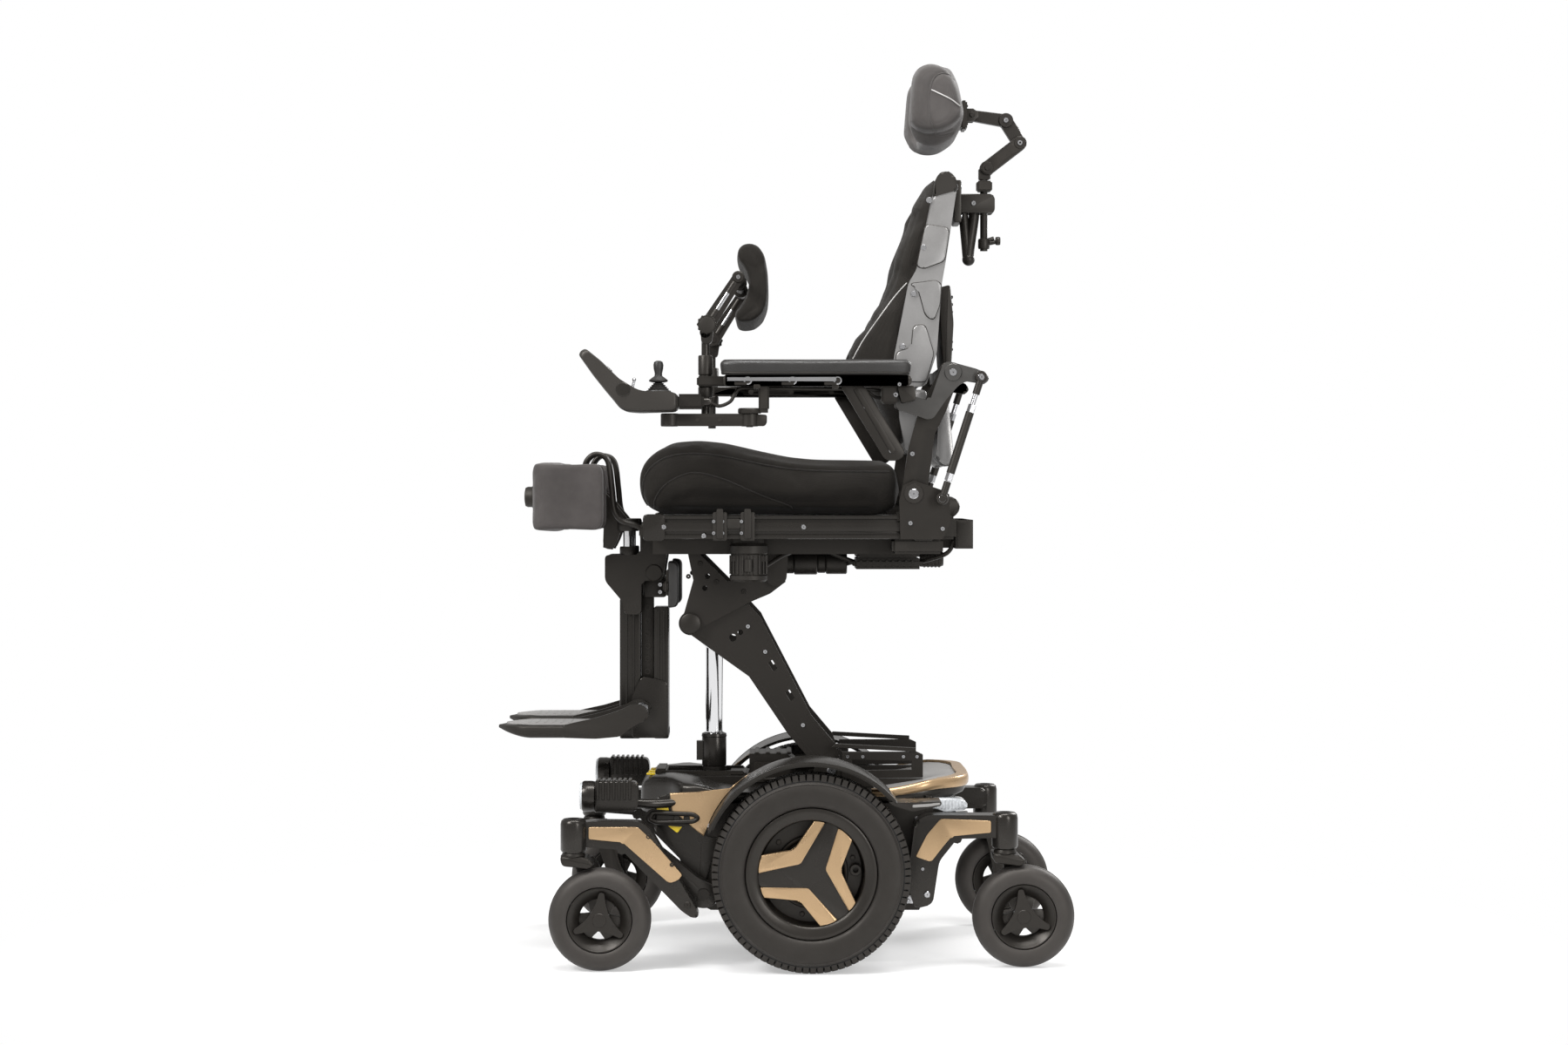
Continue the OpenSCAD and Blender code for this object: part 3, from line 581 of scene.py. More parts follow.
def hull(bm, sections, count=56, power=0.3):
    """A smooth body along X through sections of (x, half width, lowest z, highest z)."""
    return loft(bm, [boxed_ring(x, count, -w, w, z0, z1, power) for x, w, z0, z1 in sections])


def resampled(points, count):
    """A closed outline as count evenly spaced points."""
    pts = [Vector(p) for p in points]
    lengths = [(pts[(i + 1) % len(pts)] - p).length for i, p in enumerate(pts)]
    total = sum(lengths)
    out, i, run = [], 0, 0.0
    for k in range(count):
        want = total * k / count
        while run + lengths[i] < want:
            run += lengths[i]
            i += 1
        t = (want - run) / lengths[i]
        out.append(pts[i].lerp(pts[(i + 1) % len(pts)], t))
    return out


def eased_steps(count):
    """Places from -1 to 1, closer together near the ends."""
    return [math.sin(math.pi / 2 * (2 * k / (count - 1) - 1)) for k in range(count)]


def lerp_table(table, z):
    """Reads a value from a short list of (z, value) pairs, smoothly."""
    if z <= table[0][0]:
        return table[0][1]
    for (z0, a), (z1, b) in zip(table, table[1:]):
        if z <= z1:
            return a + (b - a) * eased(z, z0, z1)
    return table[-1][1]


def baked(obj):
    """The object's mesh with its modifiers applied."""
    graph = bpy.context.evaluated_depsgraph_get()
    mesh = bpy.data.meshes.new_from_object(obj.evaluated_get(graph))
    obj.modifiers.clear()
    obj.data = mesh
    return mesh


def cut_shape(obj, bm):
    """Cuts a bmesh (in millimetres) out of a finished piece."""
    cutter = linked("cutter", bm)
    tool = obj.modifiers.new("cut", "BOOLEAN")
    tool.object = cutter
    tool.operation = "DIFFERENCE"
    baked(obj)
    bpy.data.objects.remove(cutter)
    sharpen(obj)


# ---------- CAD nodes that stay, with softened edges and a finish ----------

# each look with the first words of the names of the CAD nodes that wear it
CAD_LOOKS = {
    "paint": "chassis lift_base seat_frame leg_receivers back_frame armrest_frames "
             "chest_uprights chest_arms head_post head_link_low head_link_high legrest_head "
             "knee_bracket joystick_arm level_rods",
    "battery": "batteries",
    "paint_soft": "drive_motors lift_arm lift_bracket caster_fork",
    "gloss": "lift_tube seat_rails legrest_pole caster_arm",
    "chrome": "lift_rod",
    "plastic": "power_modules",
    "steel": "joystick_gimbal mode_toggle",
    "shell": "power_button",
}
EDGE_SOFTNESS = 0.0011
WELD_DISTANCE = 0.00002
FLAT_DEGREES = 1.5
BEVEL_DEGREES = 40


def dress_cad_nodes():
    """Welds, flattens and bevels the CAD's own nodes, and gives each its look."""
    for name, obj in frame["nodes"].items():
        look = next((look for look, nodes in CAD_LOOKS.items()
                     if name.startswith(tuple(nodes.split()))), "plastic")
        for slot_in in obj.material_slots:
            slot_in.material = MATS[look]
        if not obj.material_slots:
            obj.data.materials.append(MATS[look])
        weld = obj.modifiers.new("weld", "WELD")
        weld.merge_threshold = WELD_DISTANCE
        flat = obj.modifiers.new("flat", "DECIMATE")
        flat.decimate_type = "DISSOLVE"
        flat.angle_limit = math.radians(FLAT_DEGREES)
        bevel = obj.modifiers.new("edges", "BEVEL")
        bevel.width = EDGE_SOFTNESS
        bevel.segments = 2
        bevel.limit_method = "ANGLE"
        bevel.angle_limit = math.radians(BEVEL_DEGREES)


# ---------- drive wheels ----------

def lug(bm, cx, cz, angle, lean, radii, half, y0, outer):
    """A tread lug from y0 out to outer[0] at its foot and outer[1] at its top, skewed by lean."""
    rows = []
    for r, wide, y1 in zip(radii, (half, half * 0.96), outer):
        for y, turn in ((y0, angle - lean / 2), (y1, angle + lean / 2)):
            for side in (-1, 1):
                a = turn + side * wide / r
                rows.append(bm.verts.new((cx + r * math.cos(a), y, cz + r * math.sin(a))))
    for loop in ((0, 1, 3, 2), (4, 6, 7, 5), (0, 2, 6, 4), (1, 5, 7, 3), (0, 4, 5, 1),
                 (2, 3, 7, 6)):
        bm.faces.new([rows[k] for k in loop])


def drive_wheel(side, tag):
    body = "drive_wheel_" + SIDE_WORD[tag]
    cx, cz = joint("drive_left_spin")
    low, high = corners("drive_tyre_r")
    mid, half = (low[1] + high[1]) / 2, (high[1] - low[1]) / 2
    r = (high[2] - low[2]) / 2
    # tyre: a full round casing, a flat tread band and lugs with narrow slits between them
    wall = [(117.5, half - 13), (118.4, half - 8), (121, half - 4.6), (126, half - 2.6),
            (134, half - 0.9), (145, half - 0.1), (154, half - 1.2), (161, half - 3.8),
            (164.8, half - 6), (167, half - 12), (170, half - 20), (172, 14)]
    bm = spin(bmesh.new(), two_sided(wall), cx, cz, mid, 160)
    count = 84
    pitch = math.tau / count
    for i in range(count):
        for edge in (1, -1):
            lug(bm, cx, cz, i * pitch, edge * 0.5 * pitch, (162, r - 1), 5.0, mid + edge * 11,
                (mid + edge * (half - 4.6), mid + edge * (half - 11)))
        lug(bm, cx, cz, (i + 0.5) * pitch, 0, (168, r - 0.2), 5.8, mid - 9.5,
            (mid + 9.5, mid + 9.5))
    for edge in (1, -1):
        spin(bm, [(158, edge * (half - 3.2)), (160, edge * (half - 2.2)),
                  (162, edge * (half - 4.2)), (160, edge * (half - 6))], cx, cz, mid, 128)
    to_object(mirror_to(bm, side), "tyre_" + tag, "tyre", body, declared=["drive_tyre_" + tag])
    # near-black painted shade laid over the floor of the slits between the shoulder lugs
    slit_shade = [(160, half - 5.2), (165.4, half - 5.5), (168.4, half - 11.5), (172.8, half - 20),
              (172.8, half - 24), (160, half - 20)]
    bm = spin(bmesh.new(), slit_shade, cx, cz, mid, 160)
    spin(bm, [(a, -b) for a, b in slit_shade], cx, cz, mid, 160)
    to_object(mirror_to(bm, side), "tread_slit_shade_" + tag, "slit_shade", body)
    # rim: a dished ring round a deep black bowl with a raised motor cover
    ring = [(94.6, 14), (94.6, 23), (96, 25.6), (100, 27.4), (109, 30.6), (114, 31),
            (116.6, 29.6), (117.6, 26), (117.6, -24), (112, -26), (108, -22), (107, 8)]
    bm = spin(bmesh.new(), ring, cx, cz, mid, 128)
    bowl = [(20, -10), (56, -10), (58, -8), (58, -3), (60, -1.6), (64, -1.6), (66, -4),
            (66, -10), (90, -10), (94.6, -4), (94.6, 16), (98, 16), (98, -12), (20, -14)]
    spin(bm, bowl, cx, cz, mid, 96)
    spin(bm, [(12.3, 2), (30, 2), (34, -26), (28, -29), (12.3, -29)], cx, cz, mid, 64)
    for k in range(3):
        rib(bm, cx, cz, math.radians(66.5 + 120 * k), mid)
    spin(bm, [(5.2, 0), (9.6, 0), (10.6, -1.2), (10.6, -11), (5.2, -11)], cx + 79, cz + 4, mid
         + 6, 32)
    to_object(mirror_to(bm, side), "rim_" + tag, "wheel", body, declared=["drive_rim_" + tag])
    to_object(mirror_to(star(bmesh.new(), cx, cz, mid), side), "rim_star_" + tag, "gloss", body)
    bm = bmesh.new()
    for k in range(3):
        chevron(bm, cx, cz, mid, math.radians(-120 * k))
    to_object(mirror_to(bm, side), "rim_inserts_" + tag, "gold", body)
    bm = bmesh.new()
    for k in range(6):
        angle = math.tau * (k + 0.3) / 6
        hole = (cx + 78 * math.cos(angle), cz + 78 * math.sin(angle))
        spin(bm, disc_profile(4.6, -11, -6, 0.8), *hole, mid, 20)
    to_object(mirror_to(bm, side), "rim_bolts_" + tag, "paint_soft", body)


def turned(points, cx, cz, angle):
    """Points of (x, z) round the origin, turned by angle and moved to (cx, cz)."""
    c, s = math.cos(angle), math.sin(angle)
    return [(cx + x * c - z * s, cz + x * s + z * c) for x, z in points]


def rib(bm, cx, cz, angle, mid):
    """A rib behind a spoke of the star, from the hub out to the rim."""
    outline = turned([(28, -12), (95, -10), (95, 10), (28, 12)], cx, cz, angle)
    prism(bm, outline, mid - 9, mid + 14)


def star(bm, cx, cz, mid):
    """The three-armed black centre, wide in the middle; the gold inserts lap over its edges."""
    points = []
    for k in range(3):
        arm = [(60, -19), (93, -14), (94.4, -7), (94.8, 0), (94.4, 7), (93, 14), (60, 19)]
        points += turned(arm, cx, cz, math.radians(66.5 + 120 * k))
        points += turned([(33, 0)], cx, cz, math.radians(126.5 + 120 * k))
    return prism(bm, rounded(points, 2, 2), mid + 12, mid + 21.6, 1.0)


def chevron(bm, cx, cz, mid, angle):
    """One gold insert: a V whose vertex points at the hub and whose ends follow the rim."""
    points = [(-93.9, 1), (-20.5, 17.5), (-18, 20), (24.2, 90.6), (15.5, 92.6), (5, 93.8),
              (-29.6, 43.5), (-33, 41.2), (-88, 33), (-91.8, 20), (-93.6, 9)]
    prism(bm, rounded(turned(points, cx, cz, angle), 1.6, 2), mid + 8, mid + 25.4, 1.8, 3)


# ---------- casters ----------

def caster(tag, side):
    node = "caster_wheel_" + tag
    body = "caster_" + tag
    low, high = corners("caster_wheel_" + tag[0] + "r")
    cx, cz = (low[0] + high[0]) / 2, (low[2] + high[2]) / 2
    mid, half, r = (low[1] + high[1]) / 2, (high[1] - low[1]) / 2, (high[2] - low[2]) / 2
    wall = [(58.6, half - 7), (59.4, half - 3.6), (62, half - 1.6), (67, half - 0.4),
            (74, half - 0.2), (81, half - 3), (87, half - 8.6), (91, half - 16), (r - 0.1, 4)]
    bm = spin(bmesh.new(), two_sided(wall), cx, cz, mid, 128)
    for y in (-7, 7):
        spin(bm, [(r - 1.6, y - 1), (r - 0.2, y - 0.6), (r - 0.2, y + 0.6), (r - 1.6, y + 1)],
             cx, cz, mid, 96)
    to_object(mirror_to(bm, side), "caster_tyre_" + tag, "caster", body, declared=[node])
    # hub: a funnel on each side down to a web with three small windows
    funnel = [(58.4, half - 7), (57.4, half - 4.2), (55.6, half - 4), (54, half - 5.4),
              (38.6, half - 15), (37, half - 18)]
    bm = spin(bmesh.new(), two_sided(funnel), cx, cz, mid, 96)
    spin(bm, [(6.2, half - 7), (13, half - 7), (15, half - 9), (18, 3), (18, -3),
              (15, -half + 9), (13, -half + 6), (6.2, -half + 6)], cx, cz, mid, 48)
    start = {"f": 85, "r": 97}[tag[0]]
    for k in range(3):
        angle = math.radians(start + 120 * k)
        web = [(6, -16)] + arc_points(0, 0, 37.6, -40, 40, 10) + [(6, 16)]
        prism(bm, turned(web, cx, cz, angle), mid - 6, mid + 6, 1)
    blade = []
    for k in range(3):
        arm = [(47, -5), (49.4, -3), (50, 0), (49.4, 3), (47, 5), (32, 8)]
        blade += turned([(32, -8)] + arm, cx, cz, math.radians(start + 120 * k))
        blade += turned([(19, 0)], cx, cz, math.radians(start + 60 + 120 * k))
    smooth = rounded(blade, 8, 5)
    prism(bm, smooth, mid + 2, mid + half - 4.6, 3.0, 3)
    prism(bm, smooth, mid - half + 9, mid - 2, 3.0, 3)
    spin(bm, disc_profile(13, half - 6, half - 3.9, 1.2), cx, cz, mid, 48)
    to_object(mirror_to(bm, side), "caster_hub_" + tag, "wheel", body)


# ---------- soft goods: helpers ----------

def crowned(outline, half_w, margin, count=120, slices=29, power=5):
    """Rings of a cushion with a side outline of (x, z): its sides pull in near y = +-half_w."""
    base = resampled(outline, count)
    cx = sum(p.x for p in base) / count
    cz = sum(p.y for p in base) / count
    hx = max(abs(p.x - cx) for p in base)
    hz = max(abs(p.y - cz) for p in base)
    rings = []
    for t in eased_steps(slices):
        pull = margin * (1 - (1 - abs(t) ** power) ** (1 / power)) if abs(t) < 1 else margin
        rings.append([Vector((cx + (p.x - cx) * (1 - pull / hx), t * half_w, cz + (p.y - cz)
                              * (1 - pull / hz))) for p in base])
    return rings


PUFF_FRAMES = 14


def puff(obj, voxel, cap, pressure=4.0):
    """Blows the cover up with a cloth simulation, moving no point by more than cap mm."""
    remesh = obj.modifiers.new("remesh", "REMESH")
    remesh.mode = "VOXEL"
    remesh.voxel_size = voxel * MM
    mesh = baked(obj)
    scene = bpy.context.scene
    start = [v.co.copy() for v in mesh.vertices]
    cloth = obj.modifiers.new("cloth", "CLOTH")
    settings = cloth.settings
    settings.quality = 4
    settings.mass = 0.3
    settings.tension_stiffness = 18
    settings.compression_stiffness = 18
    settings.bending_stiffness = 0.6
    settings.use_pressure = True
    settings.uniform_pressure_force = pressure
    settings.effector_weights.gravity = 0
    cloth.point_cache.frame_start = 1
    cloth.point_cache.frame_end = PUFF_FRAMES
    for f in range(1, PUFF_FRAMES + 1):
        scene.frame_set(f)
    graph = bpy.context.evaluated_depsgraph_get()
    end = [v.co.copy() for v in obj.evaluated_get(graph).data.vertices]
    obj.modifiers.clear()
    for v, a, b in zip(mesh.vertices, start, end):
        move = b - a
        if move.length > cap * MM:
            move *= cap * MM / move.length
        v.co = a + move
    scene.frame_set(1)
    relax = obj.modifiers.new("relax", "SMOOTH")
    relax.factor = 0.5
    relax.iterations = 3
    baked(obj)
    obj.data.shade_smooth()


def subdivided(obj):
    """Adds one level of subdivision to a cover."""
    sub = obj.modifiers.new("fine", "SUBSURF")
    sub.levels = sub.render_levels = 1


def snap(points, obj, lift=0.0, steps=8, across=False):
    """A smooth path laid on the surface of obj, in millimetres. Across: dropped on along Y."""
    graph = bpy.context.evaluated_depsgraph_get()
    tree = BVHTree.FromObject(obj, graph)
    out = []
    for p in smooth_path(points, steps):
        place = None
        if across:
            way = math.copysign(1, p.y)
            start = Vector((p.x, way * (abs(p.y) + 60), p.z)) * MM
            place, normal, _, _ = tree.ray_cast(start, Vector((0, -way, 0)), 0.14)
        if place is None:
            place, normal, _, _ = tree.find_nearest(Vector(p) * MM)
        out.append((place + normal * lift * MM) / MM)
    return out


def crease(obj, path, depth, width):
    """Presses a sewn channel into obj along a path that lies on it, in millimetres."""
    tree = KDTree(len(path))
    for i, p in enumerate(path):
        tree.insert(Vector(p) * MM, i)
    tree.balance()
    for v in obj.data.vertices:
        _, _, away = tree.find(v.co)
        if away < width * MM:
            fall = 0.5 + 0.5 * math.cos(math.pi * away / (width * MM))
            v.co -= v.normal * depth * MM * fall


def piping(obj, points, name, look, body, r, across=False):
    """A sewn-in cord along a seam and along its mirror image."""
    bm = bmesh.new()
    for way in (1, -1):
        path = [(x, y * way, z) for x, y, z in points]
        tube(bm, snap(path, obj, r * 0.35, across=across), r, 8)
    to_object(bm, name, look, body)


def seams(obj, paths, depth, width, across=False):
    """Presses sewn channels along paths and along their mirror images."""
    for points in paths:
        for way in (1, -1):
            path = [(x, y * way, z) for x, y, z in points]
            crease(obj, snap(path, obj, 0, 14, across), depth, width)


# ---------- seat and back ----------

def seat_cushion():
    half = corners("seat_cushion")[1][1]
    top = [(-262, 868), (-262, 894), (-252, 916), (-230, 935), (-200, 945), (-153, 948),
           (-106, 943), (-43, 928), (12, 916), (60, 911), (206, 908)]
    under = [(214, 893), (214, 826), (204, 821), (-238, 822), (-256, 836)]
    rings = crowned(rounded(top + under, 12, 3), half - 5, 16, power=7)
    bm = loft(bmesh.new(), rings)
    for v in bm.verts:
        over = max(0, min(1, (v.co.z - 860) / 40))
        thigh = math.exp(-((abs(v.co.y) - 100) / 62) ** 2)
        front = max(0, min(1, (60 - v.co.x) / 220))
        v.co.z -= over * thigh * (5 + 11 * front)
    obj = to_object(bm, "seat_cushion_cover", "fabric", "seat", declared=["seat_cushion"])
    puff(obj, voxel=6, cap=7)
    arch = [(-232, half, 826), (-229, half, 846), (-208, half, 872), (-177, half, 888),
            (-150, half, 891), (-106, half, 880), (-43, half, 853), (12, half, 832),
            (20, half, 826)]
    border = [(196, half, 893), (100, half, 894), (20, half, 898), (-43, half, 908),
              (-106, half, 921), (-153, half, 926), (-200, half, 922), (-232, half, 906),
              (-250, half, 880), (-252, half, 850), (-244, half, 830)]
    seams(obj, [arch, border], 3.4, 7, True)
    centre = [[(x, 30, 945) for x in (-200, -120, -40, 40)]]
    seams(obj, centre, 1.5, 8)
    subdivided(obj)
    piping(obj, arch, "seat_panel_seam", "panel", "seat", 1.1, across=True)
    piping(obj, border, "seat_border_seam", "panel", "seat", 1.2, across=True)


BACK_WING = [(926, 192), (985, 188), (1010, 176), (1050, 146), (1085, 119), (1100, 114),
             (1128, 128), (1179, 163), (1227, 194), (1263, 206), (1380, 240), (1408, 256),
             (1436, 270)]
BACK_FRONT = [(926, 190), (1000, 190), (1100, 200), (1200, 214), (1300, 228), (1400, 254),
              (1436, 272)]
BACK_REAR = [(926, 222), (1040, 239), (1110, 252), (1234, 264), (1273, 273), (1398, 294),
             (1436, 288)]


def back_cushion():
    half = corners("back_cushion")[1][1] - 2
    rings = []
    count = 33
    for k in range(count):
        z = 931 + (1437 - 931) * (0.5 - 0.5 * math.cos(math.pi * k / (count - 1)))
        shoulder = max(0, (z - 1370) / 72)
        w = half * (1 - 0.16 * shoulder ** 2)
        wing, front = lerp_table(BACK_WING, z) + 4, lerp_table(BACK_FRONT, z) + 5
        rear = lerp_table(BACK_REAR, z) - 2
        ends = 9 * (1 - min(1, 3 * min(k, count - 1 - k) / count)) ** 2
        ring = []
        for i in range(41):
            t = i / 20 - 1
            lean = eased(abs(t), 0.52, 0.78)
            edge = (1 - min(1, abs(t)) ** 12) ** (1 / 3) if abs(t) < 1 else 0
            x = front + (wing - front) * lean
            x = rear - (rear - x) * (0.25 + 0.75 * edge)
            ring.append(Vector((x + ends, t * w, z)))
        for i in range(21):
            t = 1 - i / 10
            ring.append(Vector((rear - ends * 0.5, t * w * 0.995, z)))
        rings.append(ring)
    obj = to_object(loft(bmesh.new(), rings), "back_cushion_cover", "fabric", "back",
                    declared=["back_cushion"])
    puff(obj, voxel=6, cap=6)
    wing_seam = [(258, 118, 1420), (232, 112, 1330), (215, 106, 1230), (203, 104, 1120),
                 (192, 106, 1010), (190, 108, 940)]
    side = [(262, half, 1405), (222, half, 1290), (206, half, 1240), (180, half, 1190),
            (146, half, 1135), (132, half, 1100)]
    seams(obj, [wing_seam], 4.0, 11)
    seams(obj, [side], 1.8, 6, True)
    for z in (1060, 1180, 1300):
        seams(obj, [[(190, 4, z), (190, 50, z), (190, 100, z)]], 2.2, 9)
    subdivided(obj)
    piping(obj, [(229, half, 1238), (206, half, 1212), (178, half, 1174), (150, half, 1134),
                 (131, half, 1100)], "back_pale_piping", "piping", "back", 1.1, across=True)
    piping(obj, wing_seam, "back_wing_seam", "panel", "back", 1.2)


# ---------- headrest ----------

def headrest():
    # a thick pillow: the front is hollowed for the head, a neck roll hangs below the two wings
    outline = [(240, 1628), (251, 1647), (274, 1657), (302, 1650), (326, 1614), (336, 1577),
               (340, 1548), (322, 1519), (290, 1502), (262, 1500), (241, 1508), (231, 1526),
               (233, 1562)]
    rings = crowned(rounded(outline, 16, 4), 121, 20, count=120, slices=41, power=3.4)
    bm = loft(bmesh.new(), rings)
    for v in bm.verts:
        t = abs(v.co.y) / 121
        wing = eased(t, 0.60, 0.78)
        if v.co.z < 1560:
            v.co.z += 26 * wing * (1560 - v.co.z) / 76
        hollow = (1 - eased(t, 0.36, 0.74)) * (0.35 + 0.65 * eased(v.co.z, 1508, 1548))
        v.co.x = 336 - (336 - v.co.x) * (1 - 0.5 * hollow)
    obj = to_object(bm, "headrest_cover", "head", "headrest", declared=["headrest_pad"])
    puff(obj, voxel=4, cap=3)
    panel = [(322, 118, 1626), (296, 124, 1630), (279, 124, 1616), (272, 124, 1580),
             (276, 124, 1540), (290, 124, 1519), (318, 118, 1524)]
    seams(obj, [panel], 2.2, 5, True)
    roll = [(236, 100, 1520), (262, 100, 1512), (292, 100, 1512), (318, 96, 1522)]
    seams(obj, [roll], 2.4, 6)
    front = [(292, 40, 1640), (290, 44, 1600), (290, 44, 1560), (284, 40, 1535), (276, 0, 1528)]
    seams(obj, [front], 1.6, 5)
    subdivided(obj)
    piping(obj, panel, "headrest_panel_seam", "head", "headrest", 0.9, across=True)
    pale = [(277, 124, 1599), (296, 124, 1590), (314, 120, 1581), (330, 104, 1570)]
    piping(obj, pale, "headrest_pale_piping", "piping", "headrest", 1.2, across=True)
    bm = bmesh.new()
    block(bm, (338, -26, 1540), (350, 26, 1594), 3)
    bracket = [(346, 1556), (362, 1556), (372, 1564), (372, 1573), (362, 1580), (346, 1580)]
    prism(bm, bracket, 9, 14, 1)
    prism(bm, bracket, -14, -9, 1)
    spin(bm, disc_profile(5, -18, 18, 1), *joint("headrest_tilt"), 0, 24)
    for z in (1550, 1584):
        for y in (-18, 18):
            spin(bm, disc_profile(3, -0.5, 0.5, 0.2), 349, z, y, 16)
    to_object(bm, "headrest_plate", "paint", "headrest")


# ---------- arms, chest, knees and calves ----------

def pad_outline(count):
    """Unit outline of an arm pad: long straight sides and rounded ends."""
    return [(signed_power(math.cos(a), 0.3), signed_power(math.sin(a), 0.62))
            for a in full_turn(count)]


def arm_pads():
    low, high = corners("armrest_pads")
    y, half = 280, 24.4
    for side, tag in SIDES:
        rings = []
        for k in range(15):
            u = k / 14
            z = low[2] + 0.3 + (high[2] - low[2] - 0.6) * u
            grow = 1 - 0.12 * (1 - u) ** 2 - 0.30 * max(0, (u - 0.55) / 0.45) ** 3
            reach = 171 - half * (1 - grow)
            ring = []
            for px, py in pad_outline(96):
                dip = 1.8 * math.exp(-(px * reach / 90) ** 2) * max(0, u - 0.7) / 0.3
                ring.append(Vector((61 + px * reach, side * (y + py * half * grow), z - dip)))
            rings.append(ring)
        name = "arm_pad_cover_" + tag
        obj = to_object(loft(bmesh.new(), rings), name, "skin", "armrests",
                        declared=["armrest_pads"] if side == LEFT else ())
        bm = bmesh.new()
        loop = [(61 + 168 * px, side * (y + 22.6 * py), low[2] + 3) for px, py in pad_outline(120)]
        tube(bm, loop, 1.3, 6, closed=True)
        to_object(bm, "arm_pad_rim_" + tag, "plastic", "armrests")


def chest_pad():
    outline = [(-78, 1311), (-62, 1317), (-44, 1312), (-33, 1295), (-27, 1262), (-26, 1230),
               (-28, 1205), (-36, 1184), (-54, 1169), (-78, 1167), (-88, 1172), (-88, 1184),
               (-76, 1196), (-64, 1214), (-58, 1236), (-59, 1254), (-66, 1270), (-80, 1284),
               (-84, 1298)]
    rings = crowned(rounded(outline, 7, 3), 146, 6, count=110, slices=25, power=5)
    obj = to_object(loft(bmesh.new(), rings), "chest_pad_cover", "fabric", "chest_pad",
                    declared=["chest_pad"])
    puff(obj, voxel=4, cap=2)
    edge = [(-62, 140, 1314), (-42, 143, 1280), (-36, 144, 1238), (-45, 143, 1200),
            (-72, 140, 1177)]
    seams(obj, [edge], 1.6, 5, True)
    subdivided(obj)
    bm = bmesh.new()
    bar_x, bar_z = joint("chest_pad_tilt")
    for y in (-100, 84):
        spin(bm, disc_profile(14, 0, 16, 1, 8.1), bar_x, bar_z, y, 40)
        block(bm, (bar_x + 4, y + 1, bar_z - 10), (-66, y + 15, bar_z + 10), 2)
    to_object(bm, "chest_pad_clamps", "paint", "chest_pad")


def side_curve(t):
    """Widens quickly, then holds: where a cup's wall stands across its width."""
    return math.copysign(min(1, abs(t) * 1.75), t)


def knee_pads():
    for side, tag in SIDES:
        rings = []
        for k in range(25):
            u = k / 24
            z = 785.5 + 123 * (0.5 - 0.5 * math.cos(math.pi * u))
            soft = (1 - abs(2 * u - 1) ** 9) ** 0.5 if 0 < u < 1 else 0.7
            reach = 64 * (0.9 + 0.1 * soft) - 20 * max(0, abs(2 * u - 1) - 0.4) ** 2
            outer, inner = [], []
            for i in range(25):
                t = i / 12 - 1
                y = 108 + side_curve(t) * (50 - 3 * (1 - soft))
                x = -456 + 5 * (1 - soft) + reach * max(0, abs(t) - 0.55) / 0.45 * 2.0
                outer.append(Vector((x, y, z)))
                thick = (1 - 0.86 * max(0, abs(t) - 0.5) / 0.5) * 56
                yin = 108 + side_curve(t) * (50 - 12 * min(1, abs(t) * 1.6))
                inner.append(Vector((max(x, -456) + thick if abs(t) < 0.55 else x + 3, yin, z)))
            rings.append(outer + inner[::-1])
        obj = to_object(mirror_to(loft(bmesh.new(), rings), side), "knee_pad_cover_" + tag,
                        "pad", "knee_pad_" + SIDE_WORD[tag], declared=["knee_pad_" + tag])
        puff(obj, voxel=4, cap=2, pressure=3)
        subdivided(obj)


def calf_pads():
    for side, tag in SIDES:
        outline = rounded([(-210, 641), (-195, 643), (-191, 650), (-191, 720), (-195, 727),
                           (-210, 729)], 5, 3)
        base = resampled(outline, 60)
        rings = []
        for t in eased_steps(17):
            pull = 7 * (1 - (1 - abs(t) ** 4) ** 0.25)
            rings.append([Vector((-200 + (p.x + 200) * (1 - pull / 14), 94 + 28.5 * t, 685
                                  + (p.y - 685) * (1 - pull / 50))) for p in base])
        obj = to_object(mirror_to(loft(bmesh.new(), rings), side), "calf_pad_cover_" + tag,
                        "skin", "legrest", declared=["calf_pads"] if side == LEFT else ())


# ---------- base ----------

def shroud():
    sections = [(-262, 70, 270, 300), (-260, 84, 262, 314), (-254, 94, 259, 322),
                (-240, 108, 258, 329), (-215, 136, 258, 332), (-200, 155, 258, 332),
                (-190, 182, 262, 331), (-178, 193, 272, 330), (-150, 196, 284, 326),
                (-120, 196, 290, 317), (-80, 196, 290, 312), (0, 196, 290, 311),
                (140, 196, 290, 311), (170, 196, 290, 312), (200, 195, 290, 314),
                (255, 193, 291, 322), (290, 178, 293, 326), (318, 154, 296, 327),
                (334, 128, 301, 326), (341, 104, 308, 322)]
    bm = hull(bmesh.new(), sections)
    obj = to_object(bm, "shroud", "gloss", "base", declared=["top_shroud"])
    cut_shape(obj, block(bmesh.new(), (-221, -36, 240), (-96, 36, 420), 2))
    cx, cz = joint("drive_left_spin")
    arch = [(193.4, 0), (193.4, 124), (194, 129), (196, 131), (198, 131), (199, 129), (199, 0)]
    lip = rect(191, 116, 193.6, 128)
    for side, tag in SIDES:
        bm = arc_spin(bmesh.new(), arch, cx, cz, 196, 40, 158, 72)
        arc_spin(bm, lip, cx, cz, 196, 42, 156, 72)
        tail = rounded([(203, 306), (186, 311), (198, 300), (232, 290), (262, 296), (283, 300),
                        (284, 308), (240, 306)], 6, 3)
        prism(bm, tail, 262, 326, 2)
        web = [(194, 128), (194, 132), (199.4, 132), (199.4, 128)]
        arc_spin(bm, web, cx, cz, 196, 41, 157, 72)
        to_object(mirror_to(bm, side), "fender_" + tag, "gloss", "base")
        # a thin pale-grey strip along the top of the fender's tail: painted highlight where the
        # tail flattens out
        tail_highlight = rounded([(232, 297), (262, 299), (281, 302), (281, 306), (262, 304), (232, 302)],
                       2, 2)
        to_object(mirror_to(prism(bmesh.new(), tail_highlight, 264, 327.2, 1), side),
                  "fender_tail_highlight_" + tag, "deck", "base")


